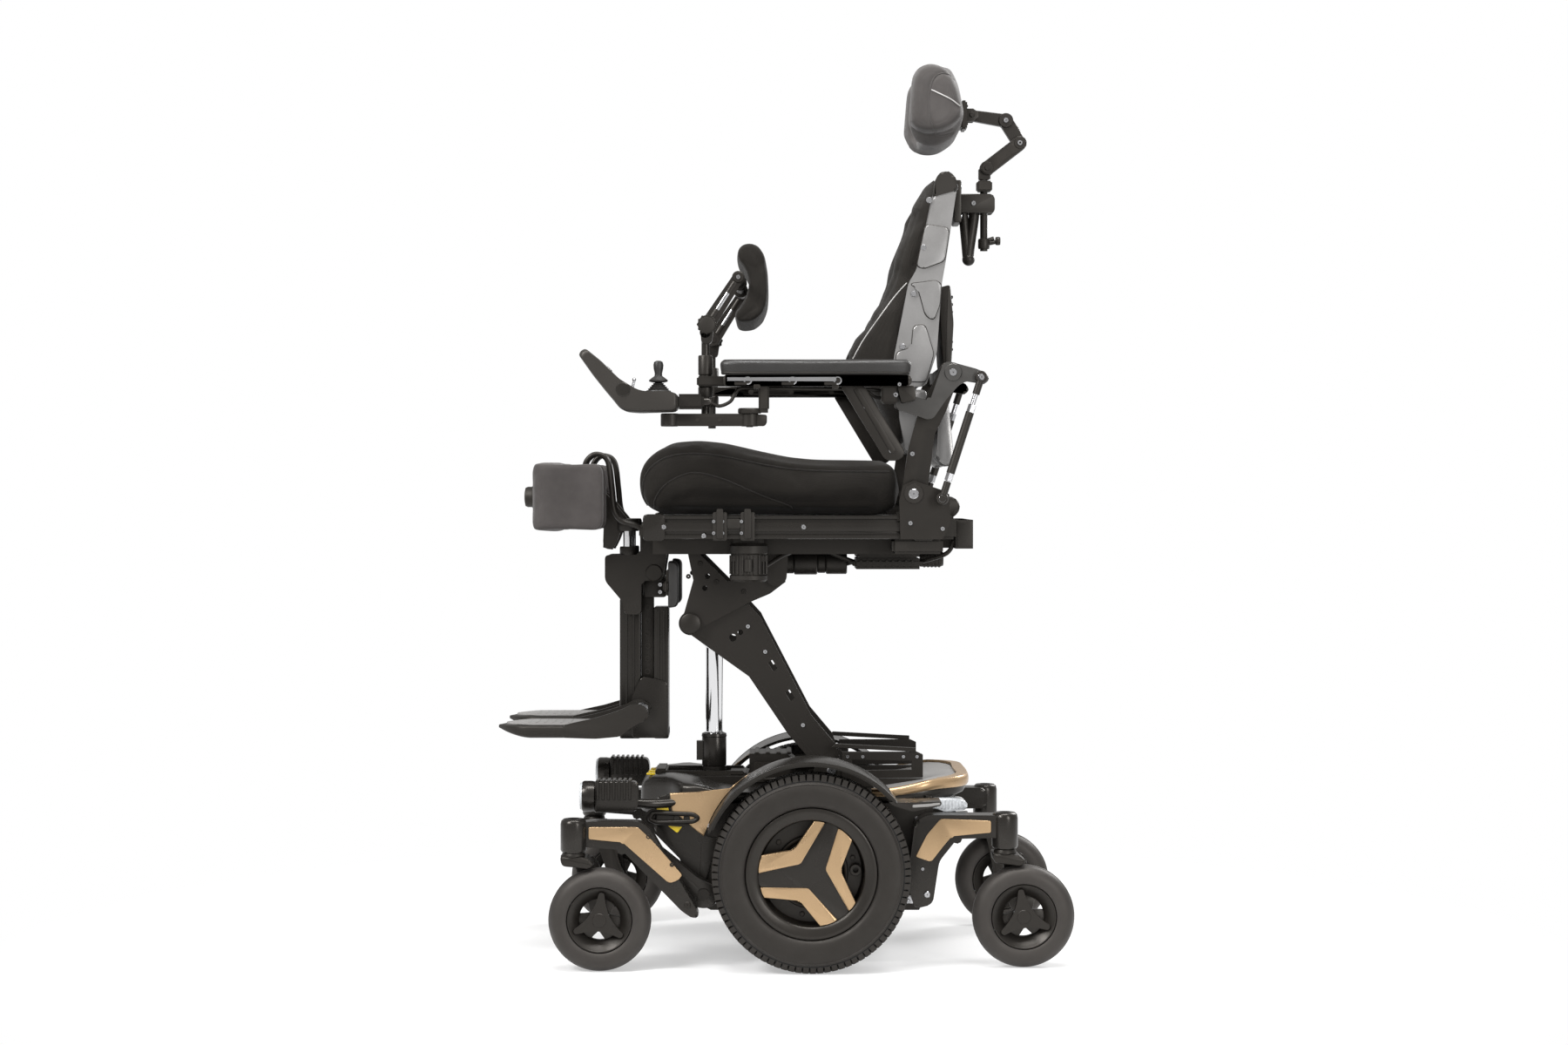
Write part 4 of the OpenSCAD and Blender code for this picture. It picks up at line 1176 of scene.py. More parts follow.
def gold_trim():
    cx, cz = joint("drive_left_spin")
    side_panel = [(-200, 277), (-203, 309), (-150, 311), (-93, 314)]
    side_panel += arc_points(cx, cz, 200.6, 123, 165, 12)
    plan = [(164, 198), (200, 198.5), (250, 197.5), (285, 184), (318, 160), (338, 130),
            (346, 100), (348, 60), (349, 0)]
    plan += [(x, -y) for x, y in reversed(plan[:-1])]
    path = smooth_path([(x, y, 0) for x, y in plan], 6)
    for side, tag in SIDES:
        panel = prism(bmesh.new(), side_panel, 196.5, 205.5, 3.5, 3)
        for v in panel.verts:
            if v.co.y > 200:
                away = math.hypot(v.co.x + 120, v.co.z - 285)
                v.co.y += 3.5 * max(0, 1 - away / 95)
        to_object(mirror_to(panel, side), "gold_side_" + tag, "gold", "base",
                  declared=["gold_panels"] if side == LEFT else ())
    # the band that runs round the rear deck, deeper towards the back
    bm = bmesh.new()
    rings = []
    for p in path:
        reach = eased(p.x, 180, 300)
        top = 315 + 18 * reach + 2 * max(0, (p.x - 300) / 50)
        low = 302 + 13 * reach
        if p.x > 290:
            out = Vector((p.x - 200, p.y, 0)).normalized()
        else:
            out = Vector((0, math.copysign(1, p.y), 0))
        shelf = 13 + 12 * max(0, min(1, (p.x - 285) / 50))
        section = ((low, 2), (low + 3, 0), ((low + top) / 2, -1), (top - 3, 0), (top, 3),
                   (top + 1, shelf), (top - 3, shelf), (top - 7, 12))
        rings.append([Vector((p.x, p.y, z)) - out * d for z, d in section])
    loft(bm, rings)
    to_object(bm, "gold_rear_band", "gold", "base")
    # the rear deck is a black top; its pale grey is painted highlight
    deck = hull(bmesh.new(), [(170, 186, 306, 313), (200, 187, 308, 317), (250, 186, 312, 325),
                              (286, 172, 316, 330), (306, 142, 318, 332), (318, 116, 318, 332),
                              (324, 92, 318, 332)], 64, 0.26)
    to_object(deck, "rear_deck", "deck", "base")


def chassis_details():
    for side, tag in SIDES:
        bm = bmesh.new()
        flank = rounded([(-228, 300), (-204, 308), (-203, 278), (-140, 230), (-112, 228),
                         (-150, 108), (-168, 150), (-196, 214), (-232, 256)], 6, 3)
        prism(bm, flank, 190, 200.5, 2)
        to_object(mirror_to(bm, side), "front_flank_" + tag, "gloss", "base")
        bm = bmesh.new()
        label = rounded([(-226, 297), (-206, 298), (-206, 278), (-176, 254), (-189, 236),
                         (-214, 256), (-227, 274)], 3, 2)
        prism(bm, label, 199.5, 203.6, 0.6, 1)
        to_object(mirror_to(bm, side), "tie_down_label_" + tag, "yellow", "base")
        bm = bmesh.new()
        loop = rounded([(-236, 270), (-232, 274), (-160, 271), (-150, 264), (-160, 258),
                        (-226, 256), (-240, 262)], 5, 4)
        tube(bm, [(x, 208, z) for x, z in loop], 4.2, 10, closed=True)
        for x in (-172, -190):
            spin(bm, disc_profile(6, -6, 4, 1), x, 264, 204, 20)
        to_object(mirror_to(bm, side), "tie_down_loop_" + tag, "paint", "base")
        # rear lamp: a clear ribbed lens that wraps the corner, in a black bezel
        bm = bmesh.new()
        outline = rounded([(272, 279), (300, 274), (336, 277), (340, 288), (330, 297),
                           (274, 299)], 5, 3)
        prism(bm, outline, 150, 192, 4)
        for k in range(9):
            x = 278 + k * 6.2
            prism(bm, rect(x, 280, x + 2, 295), 190, 193, 0.6, 1)
        to_object(mirror_to(bm, side), "rear_lamp_" + tag, "lens", "base")
        bm = bmesh.new()
        bezel = rounded([(262, 268), (300, 261), (342, 264), (342, 271), (300, 268), (274, 274),
                         (274, 304), (262, 304)], 3, 2)
        prism(bm, bezel, 146, 199, 2)
        block(bm, (255, 120, 250), (318, 190, 292), 6)
        to_object(mirror_to(bm, side), "rear_lamp_bezel_" + tag, "gloss", "base")
        bm = bmesh.new()
        for x, z in ((-176, 132), (-120, 112), (230, 112), (246, 262), (-132, 250)):
            screw(bm, x, z, 199, 4.5, 1)
        block(bm, (-120, 196, 108), (240, 199.5, 122), 1)
        for x in range(-100, 240, 34):
            block(bm, (x, 150, 93.5), (x + 20, 190, 98), 1.5)
        to_object(mirror_to(bm, side), "chassis_screws_" + tag, "steel", "base")
    # guards round the foot of the lift column
    bm = bmesh.new()
    block(bm, (-236, -52, 326), (-214, 52, 338), 3)
    block(bm, (-98, -52, 308), (-62, 52, 330), 3)
    for y in (-52, 44):
        block(bm, (-226, y, 318), (-70, y + 8, 334), 2)
    to_object(bm, "column_frame", "paint", "base")
    bm = bmesh.new()
    for k in range(3):
        block(bm, (-252 + 2 * k, -70 + 44 * k, 328), (-236, -48 + 44 * k, 331), 1)
    to_object(bm, "front_labels", "yellow", "base")
    bm = bmesh.new()
    for y in (-70, 58):
        block(bm, (-56, y, 311), (20, y + 12, 352), 4)
    for x in (-50, -30, -10, 10):
        block(bm, (x, -52, 365), (x + 9, 52, 369), 1.5)
    for k in range(2):
        cable = [(-40, 60 - 120 * k, 318), (-10, 82 - 164 * k, 322), (40, 92 - 184 * k, 326),
                 (90, 84 - 168 * k, 330)]
        tube(bm, smooth_path(cable), 4, 10)
    to_object(bm, "lift_base_fins", "paint", "base")


def suspension_arms():
    for side, tag in SIDES:
        bm = bmesh.new()
        front = rounded([(-372, 262), (-340, 267), (-252, 266), (-236, 254), (-150, 106),
                         (-148, 96), (-158, 93), (-178, 106), (-286, 216), (-352, 221),
                         (-374, 226)], 9, 4)
        prism(bm, front, 240, 281, 6, 3)
        inner = rounded([(-250, 240), (-200, 200), (-150, 160), (-118, 146), (-118, 112),
                         (-140, 104), (-165, 112), (-250, 190)], 8, 3)
        prism(bm, inner, 208, 242, 3)
        x = joint("caster_fl_swivel")[0]
        spin_up(bm, x, 275, [(11, 214), (21, 212), (23.5, 216), (23.5, 262), (22, 268),
                             (18, 271.5), (10.5, 272), (10.5, 266), (11, 266)])
        spin(bm, [(11.1, -3), (19, -3), (20.5, -1), (20.5, 4), (19, 5), (11.1, 5)],
             *joint("suspension_fl_swing"), 205, 40)
        to_object(mirror_to(bm, side), "front_arm_" + tag, "gloss", "suspension_f" + tag,
                  declared=["caster_arm_f" + tag])
        bm = bmesh.new()
        inlay = rounded([(-345, 257), (-257, 257), (-232, 234), (-177, 171), (-185, 162),
                         (-201, 157), (-284, 230), (-345, 235)], 4, 3)
        prism(bm, inlay, 276, 283.2, 1.6, 3)
        to_object(mirror_to(bm, side), "front_arm_inlay_" + tag, "gold", "suspension_f" + tag)
        bm = bmesh.new()
        rear = rounded([(240, 262), (262, 275), (398, 274), (406, 262), (404, 234), (316, 232),
                        (284, 192), (272, 114), (240, 106), (226, 150)], 9, 4)
        prism(bm, rear, 205, 251, 6, 3)
        x = joint("caster_rl_swivel")[0]
        spin_up(bm, x, 235, [(11, 216), (21, 214), (23.5, 218), (23.5, 268), (22, 275),
                             (18, 278.5), (10.5, 279), (10.5, 272), (11, 272)])
        to_object(mirror_to(bm, side), "rear_arm_" + tag, "gloss", "suspension_r" + tag,
                  declared=["caster_arm_r" + tag])
        bm = bmesh.new()
        inlay = rounded([(286, 268), (377, 265), (377, 243), (306, 237), (290, 218), (269, 191),
                         (240, 200), (262, 240)], 4, 3)
        prism(bm, inlay, 246, 253.2, 1.6, 3)
        to_object(mirror_to(bm, side), "rear_arm_inlay_" + tag, "gold", "suspension_r" + tag)
        bm = bmesh.new()
        screw(bm, -238, 240, 281, 5, 1)
        screw(bm, -196, 190, 283, 4, 1)
        screw(bm, -168, 118, 281, 6, 1)
        to_object(mirror_to(bm, side), "front_arm_screws_" + tag, "paint_soft",
                  "suspension_f" + tag)
        bm = bmesh.new()
        screw(bm, 262, 132, 251, 6, 1)
        screw(bm, 254, 178, 251, 3.4, 1)
        to_object(mirror_to(bm, side), "rear_arm_screws_" + tag, "steel", "suspension_r" + tag)


def fork_details(tag, side):
    """Cap nut, boot and axle bolt of one caster fork."""
    place = joint("caster_" + tag + "_swivel")[0]
    wheel_x, wheel_z = middle("caster_wheel_" + tag)[0], middle("caster_wheel_" + tag)[2]
    y = 275 if tag[0] == "f" else 235
    bm = bmesh.new()
    spin_up(bm, place, y, [(10.2, 203), (19, 203), (21, 206), (20, 210), (18, 213), (10.2, 213)])
    crown = rounded([(place - 24, 206), (place + 22, 204), (place + 38, 192), (place + 30, 184),
                     (place - 20, 188)], 7, 3)
    prism(bm, crown, y - 37, y + 20, 4)
    leg = rounded([(place + 30, 204), (place + 22, 186), (wheel_x - 16, wheel_z + 8),
                   (wheel_x - 8, wheel_z - 14), (wheel_x + 10, wheel_z - 15),
                   (wheel_x + 17, wheel_z), (wheel_x + 2, wheel_z + 40), (place + 44, 186)], 8, 4)
    prism(bm, leg, y - 40, y - 28.5, 3)
    to_object(mirror_to(bm, side), "fork_cover_" + tag, "paint_soft", "fork_" + tag)
    bm = bmesh.new()
    screw(bm, wheel_x, wheel_z, y - 40, 9, -1, 3)
    to_object(mirror_to(bm, side), "fork_bolts_" + tag, "steel", "fork_" + tag)


def headlights():
    def case(b):
        casing = [(-338, 277), (-263, 279), (-259, 290), (-259, 320), (-263, 332), (-338, 334)]
        prism(b, rounded(casing, 5, 3), 199, 235, 4)
        for i in range(7):
            x = -334 + i * 9.6
            prism(b, rounded(rect(x, 300, x + 5, 336.5), 1, 2), 198, 236.6, 0.8, 1)
        tube(b, smooth_path([(-262, 216, 292), (-240, 214, 291), (-216, 206, 291),
                             (-190, 196, 292)]), 9, 16)
        spin_along(b, 217, 305, [(27, -338), (28, -344), (28, -357), (26.6, -360), (24.6, -360),
                                 (23, -356), (22, -346), (0.1, -344), (0.1, -338)])
    to_object(both(case), "headlight_cases", "gloss", "base", declared=["headlights"])

    def lens(b):
        spin_along(b, 217, 305, [(25.6, -352), (25.6, -361), (24, -364), (12, -366.4),
                                 (0.1, -367), (0.1, -352)])
    to_object(both(lens), "headlight_lenses", "lens", "base")


# ---------- lift ----------

def lift_details():
    foot, knee = joint("lift_raise"), joint("lift_level")

    def ribs(b):
        for edge in ([(-167, 604), (-131, 578), (-54, 523), (17, 418), (76, 350)], [(92, 389),
                                                                                    (49, 440),
                                                                                    (-29, 589),
                                                                                    (-45, 621),
                                                                                    (-67, 642)]):
            tube(b, smooth_path([(x, 100, z) for x, z in edge], 1), 3.2, 8)
    to_object(both(ribs), "lift_arm_ribs", "paint", "lift_arm")
    x = joint("actuator_swing")[0]
    bm = spin_up(bmesh.new(), x, 0, [(16.53, 404), (16.53, 566), (14, 569), (AXIS, 569),
                                     (AXIS, 404)], 72)
    to_object(bm, "lift_rod_plating", "chrome", "actuator_rod")

    def bolts(b):
        for x, z in ((-62, 607), (-30, 560), (40, 424)):
            screw(b, x, z, 103, 4.5, 1)
    to_object(both(bolts), "lift_arm_bolts", "steel", "lift_arm")

    def bracket(b):
        spin(b, [(AXIS, 0), (17, 0), (19, 1.5), (19, 4), (17, 5.5), (AXIS, 5.5)], *knee, 116.8,
             48)
        for x, z in ((-150, 724), (-120, 690), (-70, 672), (-172, 700)):
            screw(b, x, z, 112, 4.5, 1)
    to_object(both(bracket), "lift_bracket_caps", "paint", "lift_bracket")

    def bolt(b):
        screw(b, foot[0], foot[1], 121, 9, 1, 3.4)
        for x in (122, 150, 225, 250):
            screw(b, x, 368, 128, 3.5, 1)
        screw(b, -42, 340, 50, 4, 1)
    to_object(both(bolt), "lift_base_bolts", "steel", "base")
    bm = bmesh.new()
    spin_up(bm, x, 0, [(17.2, 392), (22, 392), (24, 395), (23, 400), (18.5, 402), (17.2, 402)])
    spin_up(bm, x, 0, [(20, 330), (22.6, 332), (22.6, 338), (20, 340)])
    for k in range(3):
        spin_up(bm, x, 0, [(19.9, 230 + 30 * k), (21.4, 231 + 30 * k), (21.4, 240 + 30 * k),
                           (19.9, 241 + 30 * k)])
    to_object(bm, "lift_column_rings", "gloss", "actuator_tube")


# ---------- seat frame and rails ----------

def seat_hardware():
    def rail(b):
        outline = rounded([(-240, 777), (-232, 771), (262, 771), (272, 779), (272, 806),
                           (262, 814), (-240, 814), (-247, 806), (-247, 785)], 4, 3)
        prism(b, outline, 215, 236, 2)
        for z0, z1 in ((771.5, 779), (785, 801), (807.5, 813.5)):
            prism(b, rounded(rect(-246, z0, 271, z1), 3, 2), 230, 240, 1.4)
        for x in (-246, 240):
            prism(b, rounded(rect(x - 4, 768, x + 36, 816), 8, 4), 213, 241, 3)
    to_object(both(rail), "rails_cover", "gloss", "seat", declared=["seat_rails"])

    def screws(b):
        for x, z in ((-212, 793), (257, 793), (-140, 777), (-52, 810), (40, 793)):
            screw(b, x, z, 240.5, 4.6, 1, 2)
        for x in (-122, -106, -72, -58):
            for z in (782, 803):
                screw(b, x, z, 245.5, 3.6, 1, 2)
        for x, z in map(joint, ("back_recline", "level_rod_swing")):
            screw(b, x, z, 248, 9.5 if x < 260 else 6.5, 1, 3)
        screw(b, 232, 800, 248, 4.5, 1)
        screw(b, 290, 790, 248, 4.5, 1)
    to_object(both(screws), "seat_screws", "steel", "seat")

    def clamps(b):
        for x in (-124, -74):
            prism(b, rounded(rect(x, 768, x + 26, 820), 4, 3), 210, 246, 2)
            prism(b, rounded(rect(x + 7, 772, x + 19, 826), 3, 2), 240, 249, 1.5)
        prism(b, rounded(rect(-98, 790, -74, 808), 3, 2), 238, 246, 1.5)
        ear = rounded([(214, 771), (290, 771), (304, 800), (302, 852), (288, 860), (238, 877),
                       (218, 868), (212, 840)], 7, 4)
        prism(b, ear, 240.5, 247, 1.6)
        for x, z, r in ((238, 853, 17), (288, 844, 9.5)):
            spin(b, [(6.2, -1), (r, -1), (r + 1, 0.5), (r, 2), (6.2, 2)], x, z, 247.6, 40)
        block(b, (204, 196, 800), (292, 239, 820), 4)
        block(b, (280, 150, 770), (318, 200, 812), 5)
        block(b, (200, 150, 744), (292, 232, 772), 5)
    to_object(both(clamps), "seat_clamps", "plastic", "seat")
    bm = bmesh.new()
    # lift control unit below the near rail: a finned can with a lid
    spin_up(bm, -60, -190, [(AXIS, 693), (31, 693), (34.5, 697), (34.5, 704), (32, 706),
                            (32, 742), (35, 745), (35, 758), (31, 763), (AXIS, 763)])
    for k in range(20):
        a = math.tau * k / 20
        x, y = -60 + 33.2 * math.cos(a), -190 + 33.2 * math.sin(a)
        spin_up(bm, x, y, rect(AXIS, 707, 1.7, 741), 8)
    block(bm, (-92, -212, 726), (-28, -170, 744), 4)
    block(bm, (-88, -208, 760), (-32, -172, 800), 3)
    spin_up(bm, -60, -218, rect(AXIS, 712, 9, 734), 20)
    to_object(bm, "lift_control_unit", "plastic", "seat")
    bm = bmesh.new()
    # tilt actuator motor and control box below the pan
    for x0, x1, r in ((-40, 24, 20), (24, 68, 22), (68, 84, 19), (84, 124, 21)):
        spin_along(bm, 0, 722, disc_profile(r, x0, x1, 2))
    block(bm, (134, -74, 712), (264, 74, 732), 6)
    block(bm, (140, -70, 730), (258, 70, 746), 5)
    for k in range(9):
        block(bm, (146 + k * 12, -74.5, 716), (151 + k * 12, 74.5, 729), 1)
    spin_along(bm, 0, 730, [(AXIS, 262), (15, 262), (15.5, 266), (15.5, 300), (13, 306),
                            (AXIS, 306)])
    for k in range(5):
        spin_along(bm, 0, 730, [(14, 268 + 7 * k), (16.6, 269 + 7 * k), (16.6, 272 + 7 * k),
                                (14, 273 + 7 * k)])
    prism(bm, rounded([(270, 806), (318, 806), (334, 820), (333, 838), (318, 849), (300, 846),
                       (252, 828), (236, 826), (236, 806)], 8, 4), -60, 60, 6)
    prism(bm, rounded(rect(320, 752, 352, 805), 6, 3), -149, 149, 4)
    for k in range(4):
        block(bm, (351, -120 + 66 * k, 764), (354, -80 + 66 * k, 794), 1.2)
    to_object(bm, "power_covers", "plastic", "seat", declared=["power_modules"])
    bm = bmesh.new()
    cables = [[(60, 24, 720), (96, 60, 712), (128, 50, 720), (140, 40, 724)], [(-30, -176, 720),
                                                                               (10, -120, 742),
                                                                               (60, -60, 752),
                                                                               (134, -40, 726)],
              [(262, 50, 724), (300, 90, 740), (318, 100, 770)], [(262, -52, 726),
                                                                  (306, -96, 742),
                                                                  (322, -104, 768)]]
    for path in cables:
        tube(bm, smooth_path(path, 10), 4.2, 10)
    to_object(bm, "seat_cables", "plastic", "seat")
    bm = bmesh.new()
    for k in range(3):
        block(bm, (353.2, -112 + 66 * k, 772), (354.6, -88 + 66 * k, 780), 0.5)
    to_object(bm, "rear_box_lamps", "lens", "seat")


# ---------- back ----------

def back_shell():
    # shell: a tray whose side walls hold three overlapping panels
    wall = [(276, 1396), (247, 1262), (231, 1237), (204, 1099), (202, 1052), (216, 1046),
            (262, 1048), (282, 1108), (291, 1234), (298, 1273), (317, 1398), (318, 1406)]
    bm = bmesh.new()
    twin_prisms(bm, rounded(wall, 9, 4), 190, 206, 5, 3)
    to_object(bm, "shell_walls", "shell", "back", declared=["back_shell"])
    tray = [(275, 1398), (246, 1262), (232, 1237), (206, 1099), (202, 1056), (260, 1052),
            (281, 1108), (290, 1234), (297, 1273), (316, 1398), (308, 1414), (286, 1412)]
    inner = [(276, 1400), (248, 1262), (234, 1237), (206, 1090), (190, 1040), (246, 1040),
             (270, 1110), (281, 1234), (289, 1273), (306, 1392), (296, 1440), (262, 1440)]
    obj = to_object(prism(bmesh.new(), rounded(tray, 8, 4), -196, 196, 4, 3), "shell_back",
                    "shell", "back")
    cut_shape(obj, prism(bmesh.new(), inner, -187, 187, 0))

    def panels(b):
        for outline in panel_lines():
            prism(b, rounded(outline, 7, 4), 203, 209.4, 2.6, 3)
        lower = [(225, 930), (258, 930), (270, 1000), (262, 1042), (212, 1042), (214, 990)]
        prism(b, rounded(lower, 6, 3), 194, 207, 3)
    to_object(both(panels), "shell_panels", "shell", "back")

    def lower_back(b):
        prism(b, rounded([(282, 916), (300, 902), (316, 906), (302, 1040), (284, 1042)], 7, 3),
              84, 192, 5)
    to_object(both(lower_back), "shell_lower", "shell", "back")
    bm = prism(bmesh.new(), rounded([(280, 1396), (318, 1396), (324, 1412), (314, 1438),
                                     (296, 1443), (284, 1430)], 8, 4), -186, 186, 7, 3)
    prism(bm, rounded([(274, 1392), (319, 1404), (316, 1420), (302, 1436), (291, 1439),
                       (281, 1428)], 6, 4), -207, 207, 5, 3)
    prism(bm, rounded([(291, 1236), (314, 1242), (320, 1170), (316, 1092), (300, 1090)], 6, 3),
          -92, 92, 5)
    for z in range(1120, 1230, 14):
        block(bm, (317.5, -60, z), (321, 60, z + 6), 1.2)
    to_object(bm, "shell_cap", "plastic", "back")

    # black tubes round each panel's edge: painted shade standing in for the gaps round the panels
    def joints(b):
        for outline in panel_lines():
            tube(b, [(x, 206, z) for x, z in rounded(outline, 7, 4)], 1.5, 8, True)
    to_object(both(joints), "shell_panel_gap_shade", "plastic", "back")

    def bolts(b):
        for x, z in ((268, 1386), (258, 1300), (240, 1216), (220, 1120)):
            spin(b, disc_profile(5.4, 0, 5, 1), x, z, 205, 24)
        for x, z in ((236, 925), (262, 1000), (300, 1074)):
            screw(b, x, z, 238, 5, 1)
    to_object(both(bolts), "back_bolts", "steel", "back")

    def canes(b):
        outline = [(216, 850), (228, 930), (244, 990), (290, 1088), (300, 1092), (326, 1078),
                   (296, 1000), (276, 960), (262, 845), (250, 832), (226, 834)]
        prism(b, rounded(outline, 8, 4), 225, 238.6, 3)
        x, z = joint("armrest_level")
        spin(b, [(AXIS, -2), (17, -2), (19, 0), (19, 1.5), (17, 3), (AXIS, 3)], x, z, 238, 48)
    to_object(both(canes), "back_canes", "paint", "back")
    bm = bmesh.new()
    # headrest mount: clamp plate, stand-offs, hook tube and its knob
    prism(bm, rounded(rect(324, 1362, 338, 1442), 4, 3), -42, 42, 3)
    hook = [(340, 0, 1398), (356, 0, 1396), (364, 0, 1384), (362, 0, 1360), (356, 0, 1320),
            (354, 0, 1300)]
    tube(bm, smooth_path(hook, 8), 10, 20)
    ball(bm, 12, (354, 0, 1296), 24, 14)
    twin_prisms(bm, rounded([(336, 1382), (399, 1382), (402, 1388), (402, 1412), (396, 1418),
                             (336, 1418)], 5, 3), 11, 23.5, 2.5)
    to_object(bm, "headrest_mount", "paint", "back")
    bm = bmesh.new()
    for y in (-30, 30):
        for z in (1374, 1430):
            spin_along(bm, y, z, [(0.9, 339), (4, 339), (4.4, 337), (4.4, 336), (0.9, 336)], 20)
    screw(bm, 362, 1400, 23.5, 5, 1)
    screw(bm, 362, 1400, -23.5, 5, -1)
    to_object(bm, "headrest_mount_bolts", "steel", "back")


def panel_lines():
    """The outlines of the three panels that overlap on each side of the back shell."""
    return [[(246, 1266), (258, 1262), (296, 1276), (304, 1330), (300, 1336), (262, 1342)],
            [(233, 1234), (248, 1226), (262, 1176), (276, 1168), (287, 1196), (290, 1234),
             (280, 1240)], [(209, 1110), (236, 1118), (240, 1158), (260, 1160), (276, 1108),
                            (262, 1056), (206, 1058)]]


def level_rods():
    foot = joint("level_rod_swing")
    top = (foot[0] + joint("armrest_level")[0] - joint("back_recline")[0], foot[1]
           + joint("armrest_level")[1] - joint("back_recline")[1])
    a, c = Vector((foot[0], 268.8, foot[1])), Vector((top[0], 268.8, top[1]))
    along = (c - a).normalized()
    length = (c - a).length

    def stretch(b, start, end, r, sides=24):
        tube(b, [a + along * start, a + along * end], r, sides)

    def bright(b):
        stretch(b, 12, 50, 4.4)
        stretch(b, length - 60, length - 12, 4.4)
        stretch(b, 34, 48, 7.4, 6)
        stretch(b, length - 66, length - 52, 7.4, 6)
        for end in (foot, top):
            spin(b, [(AXIS, -6.4), (5, -6.4), (6.2, -5.6), (6.2, 5.6), (5, 6.4), (AXIS, 6.4)],
                 end[0], end[1], 268.8, 32)
    to_object(both(bright), "levelling_rod_ends", "steel", "level_rods")

    def dark(b):
        stretch(b, 48, length - 66, 7.6)
        for end, way in ((foot, 1), (top, -1)):
            spin(b, [(6.2, -5.4), (10, -5.4), (11.4, -3), (11.4, 3), (10, 5.4), (6.2, 5.4)],
                 end[0], end[1], 268.8, 40)
            p = Vector((end[0], 268.8, end[1]))
            tube(b, [p + along * way * 8, p + along * way * 32], 6.6, 20)
    to_object(both(dark), "levelling_rods", "plastic", "level_rods", declared=["level_rods"])


# ---------- arms ----------

def arm_hardware():
    def lever(b):
        outline = [(201, 1006), (208, 1036), (252, 1024), (266, 1019), (290, 1086), (300, 1091),
                   (348, 1078), (366, 1071), (374, 1060), (366, 1050), (334, 1056), (318, 1048),
                   (294, 1020), (273, 989), (262, 986), (246, 992)]
        prism(b, rounded(outline, 9, 5), 250, 262.4, 4.5, 4)
        for (x, z), r in ((joint("armrest_level"), 16), ((358, 1062), 12)):
            spin(b, [(7.2, 0), (r, 0), (r, 1.6), (r - 1.4, 3), (7.2, 3)], x, z, 262, 40)
    to_object(both(lever), "arm_levers", "dark_alloy", "armrests")

    def strip(b):
        prism(b, rounded([(-97, 1053.4), (96, 1053.4), (98, 1055), (98, 1059.6), (96, 1061),
                          (-97, 1061)], 2, 2), 296, 299.4, 0.8, 1)
        for x in (-60, 20, 100):
            spin(b, [(5.1, 0), (7.6, 0), (7.6, 1), (6.6, 1.8), (5.1, 1.8)], x, 1055, 297.8, 24)
        screw(b, 204, 1030, 286, 5, 1)
        screw(b, 150, 1008, 285.4, 4, 1)
        screw(b, 196, 930, 285.4, 5, 1)
        screw(b, 210, 1048, 298, 4, 1)
        screw(b, *joint("armrest_level"), 262, 8, 1, 4)
        screw(b, 358, 1062, 275.5, 5.5, 1, 2.6)
    to_object(both(strip), "arm_screws", "steel", "armrests")

    def channel(b):
        side = rounded([(-100, 1045), (226, 1045), (232, 1050), (232, 1060), (226, 1065.6),
                        (-100, 1065.6), (-104, 1060), (-104, 1050)], 4, 3)
        prism(b, side, 262, 268, 1.5)
        prism(b, side, 292, 298, 1.5)
        prism(b, rounded(rect(-100, 1059, 226, 1065.6), 2, 2), 262, 298, 1)
        prism(b, rounded(rect(-100, 1045, 226, 1050), 2, 2), 262, 298, 1)
        stay = rounded([(104, 1048), (146, 1048), (222, 926), (210, 912), (186, 912)], 8, 4)
        prism(b, stay, 276.4, 285.4, 2.4)
        rib = rounded([(128, 1040), (138, 1040), (204, 930), (196, 924)], 3, 2)
        prism(b, rib, 284, 288.4, 1.4)
        block(b, (178, 252, 1014), (208, 287, 1047), 4)
        # hook the channel hangs on, under the rear of the pad
        prism(b, rounded([(206, 1046), (238, 1046), (240, 1020), (214, 1014)], 5, 3), 256, 292, 3)
        for x in (-84, 0, 76):
            block(b, (x, 298, 1046.5), (x + 22, 300.6, 1052), 0.8)
    to_object(both(channel), "arm_channels", "paint", "armrests")

    def receiver(b):
        spin_up(b, -137, 246, [(7.2, 1026), (12, 1026), (13, 1028), (13, 1044), (11.4, 1046),
                               (11.4, 1066), (13, 1068), (13, 1100), (12, 1102), (7.2, 1102)])
        block(b, (-152, 236, 1046), (-88, 266, 1064), 3)
    to_object(both(receiver), "chest_receivers", "paint", "armrests")
    bm = bmesh.new()
    block(bm, (-41, -293, 1002), (-22, -269, 1047), 3)
    spin_up(bm, -57, -281, [(AXIS, 996.5), (20, 996.5), (21, 998), (21, 1004), (19, 1006),
                            (AXIS, 1006)])
    for x in (-50, 90):
        prism(bm, rounded(rect(x, 1040, x + 12, 1048), 2, 2), -299, -262, 1.2)
    to_object(bm, "joystick_hanger", "paint", "armrests")


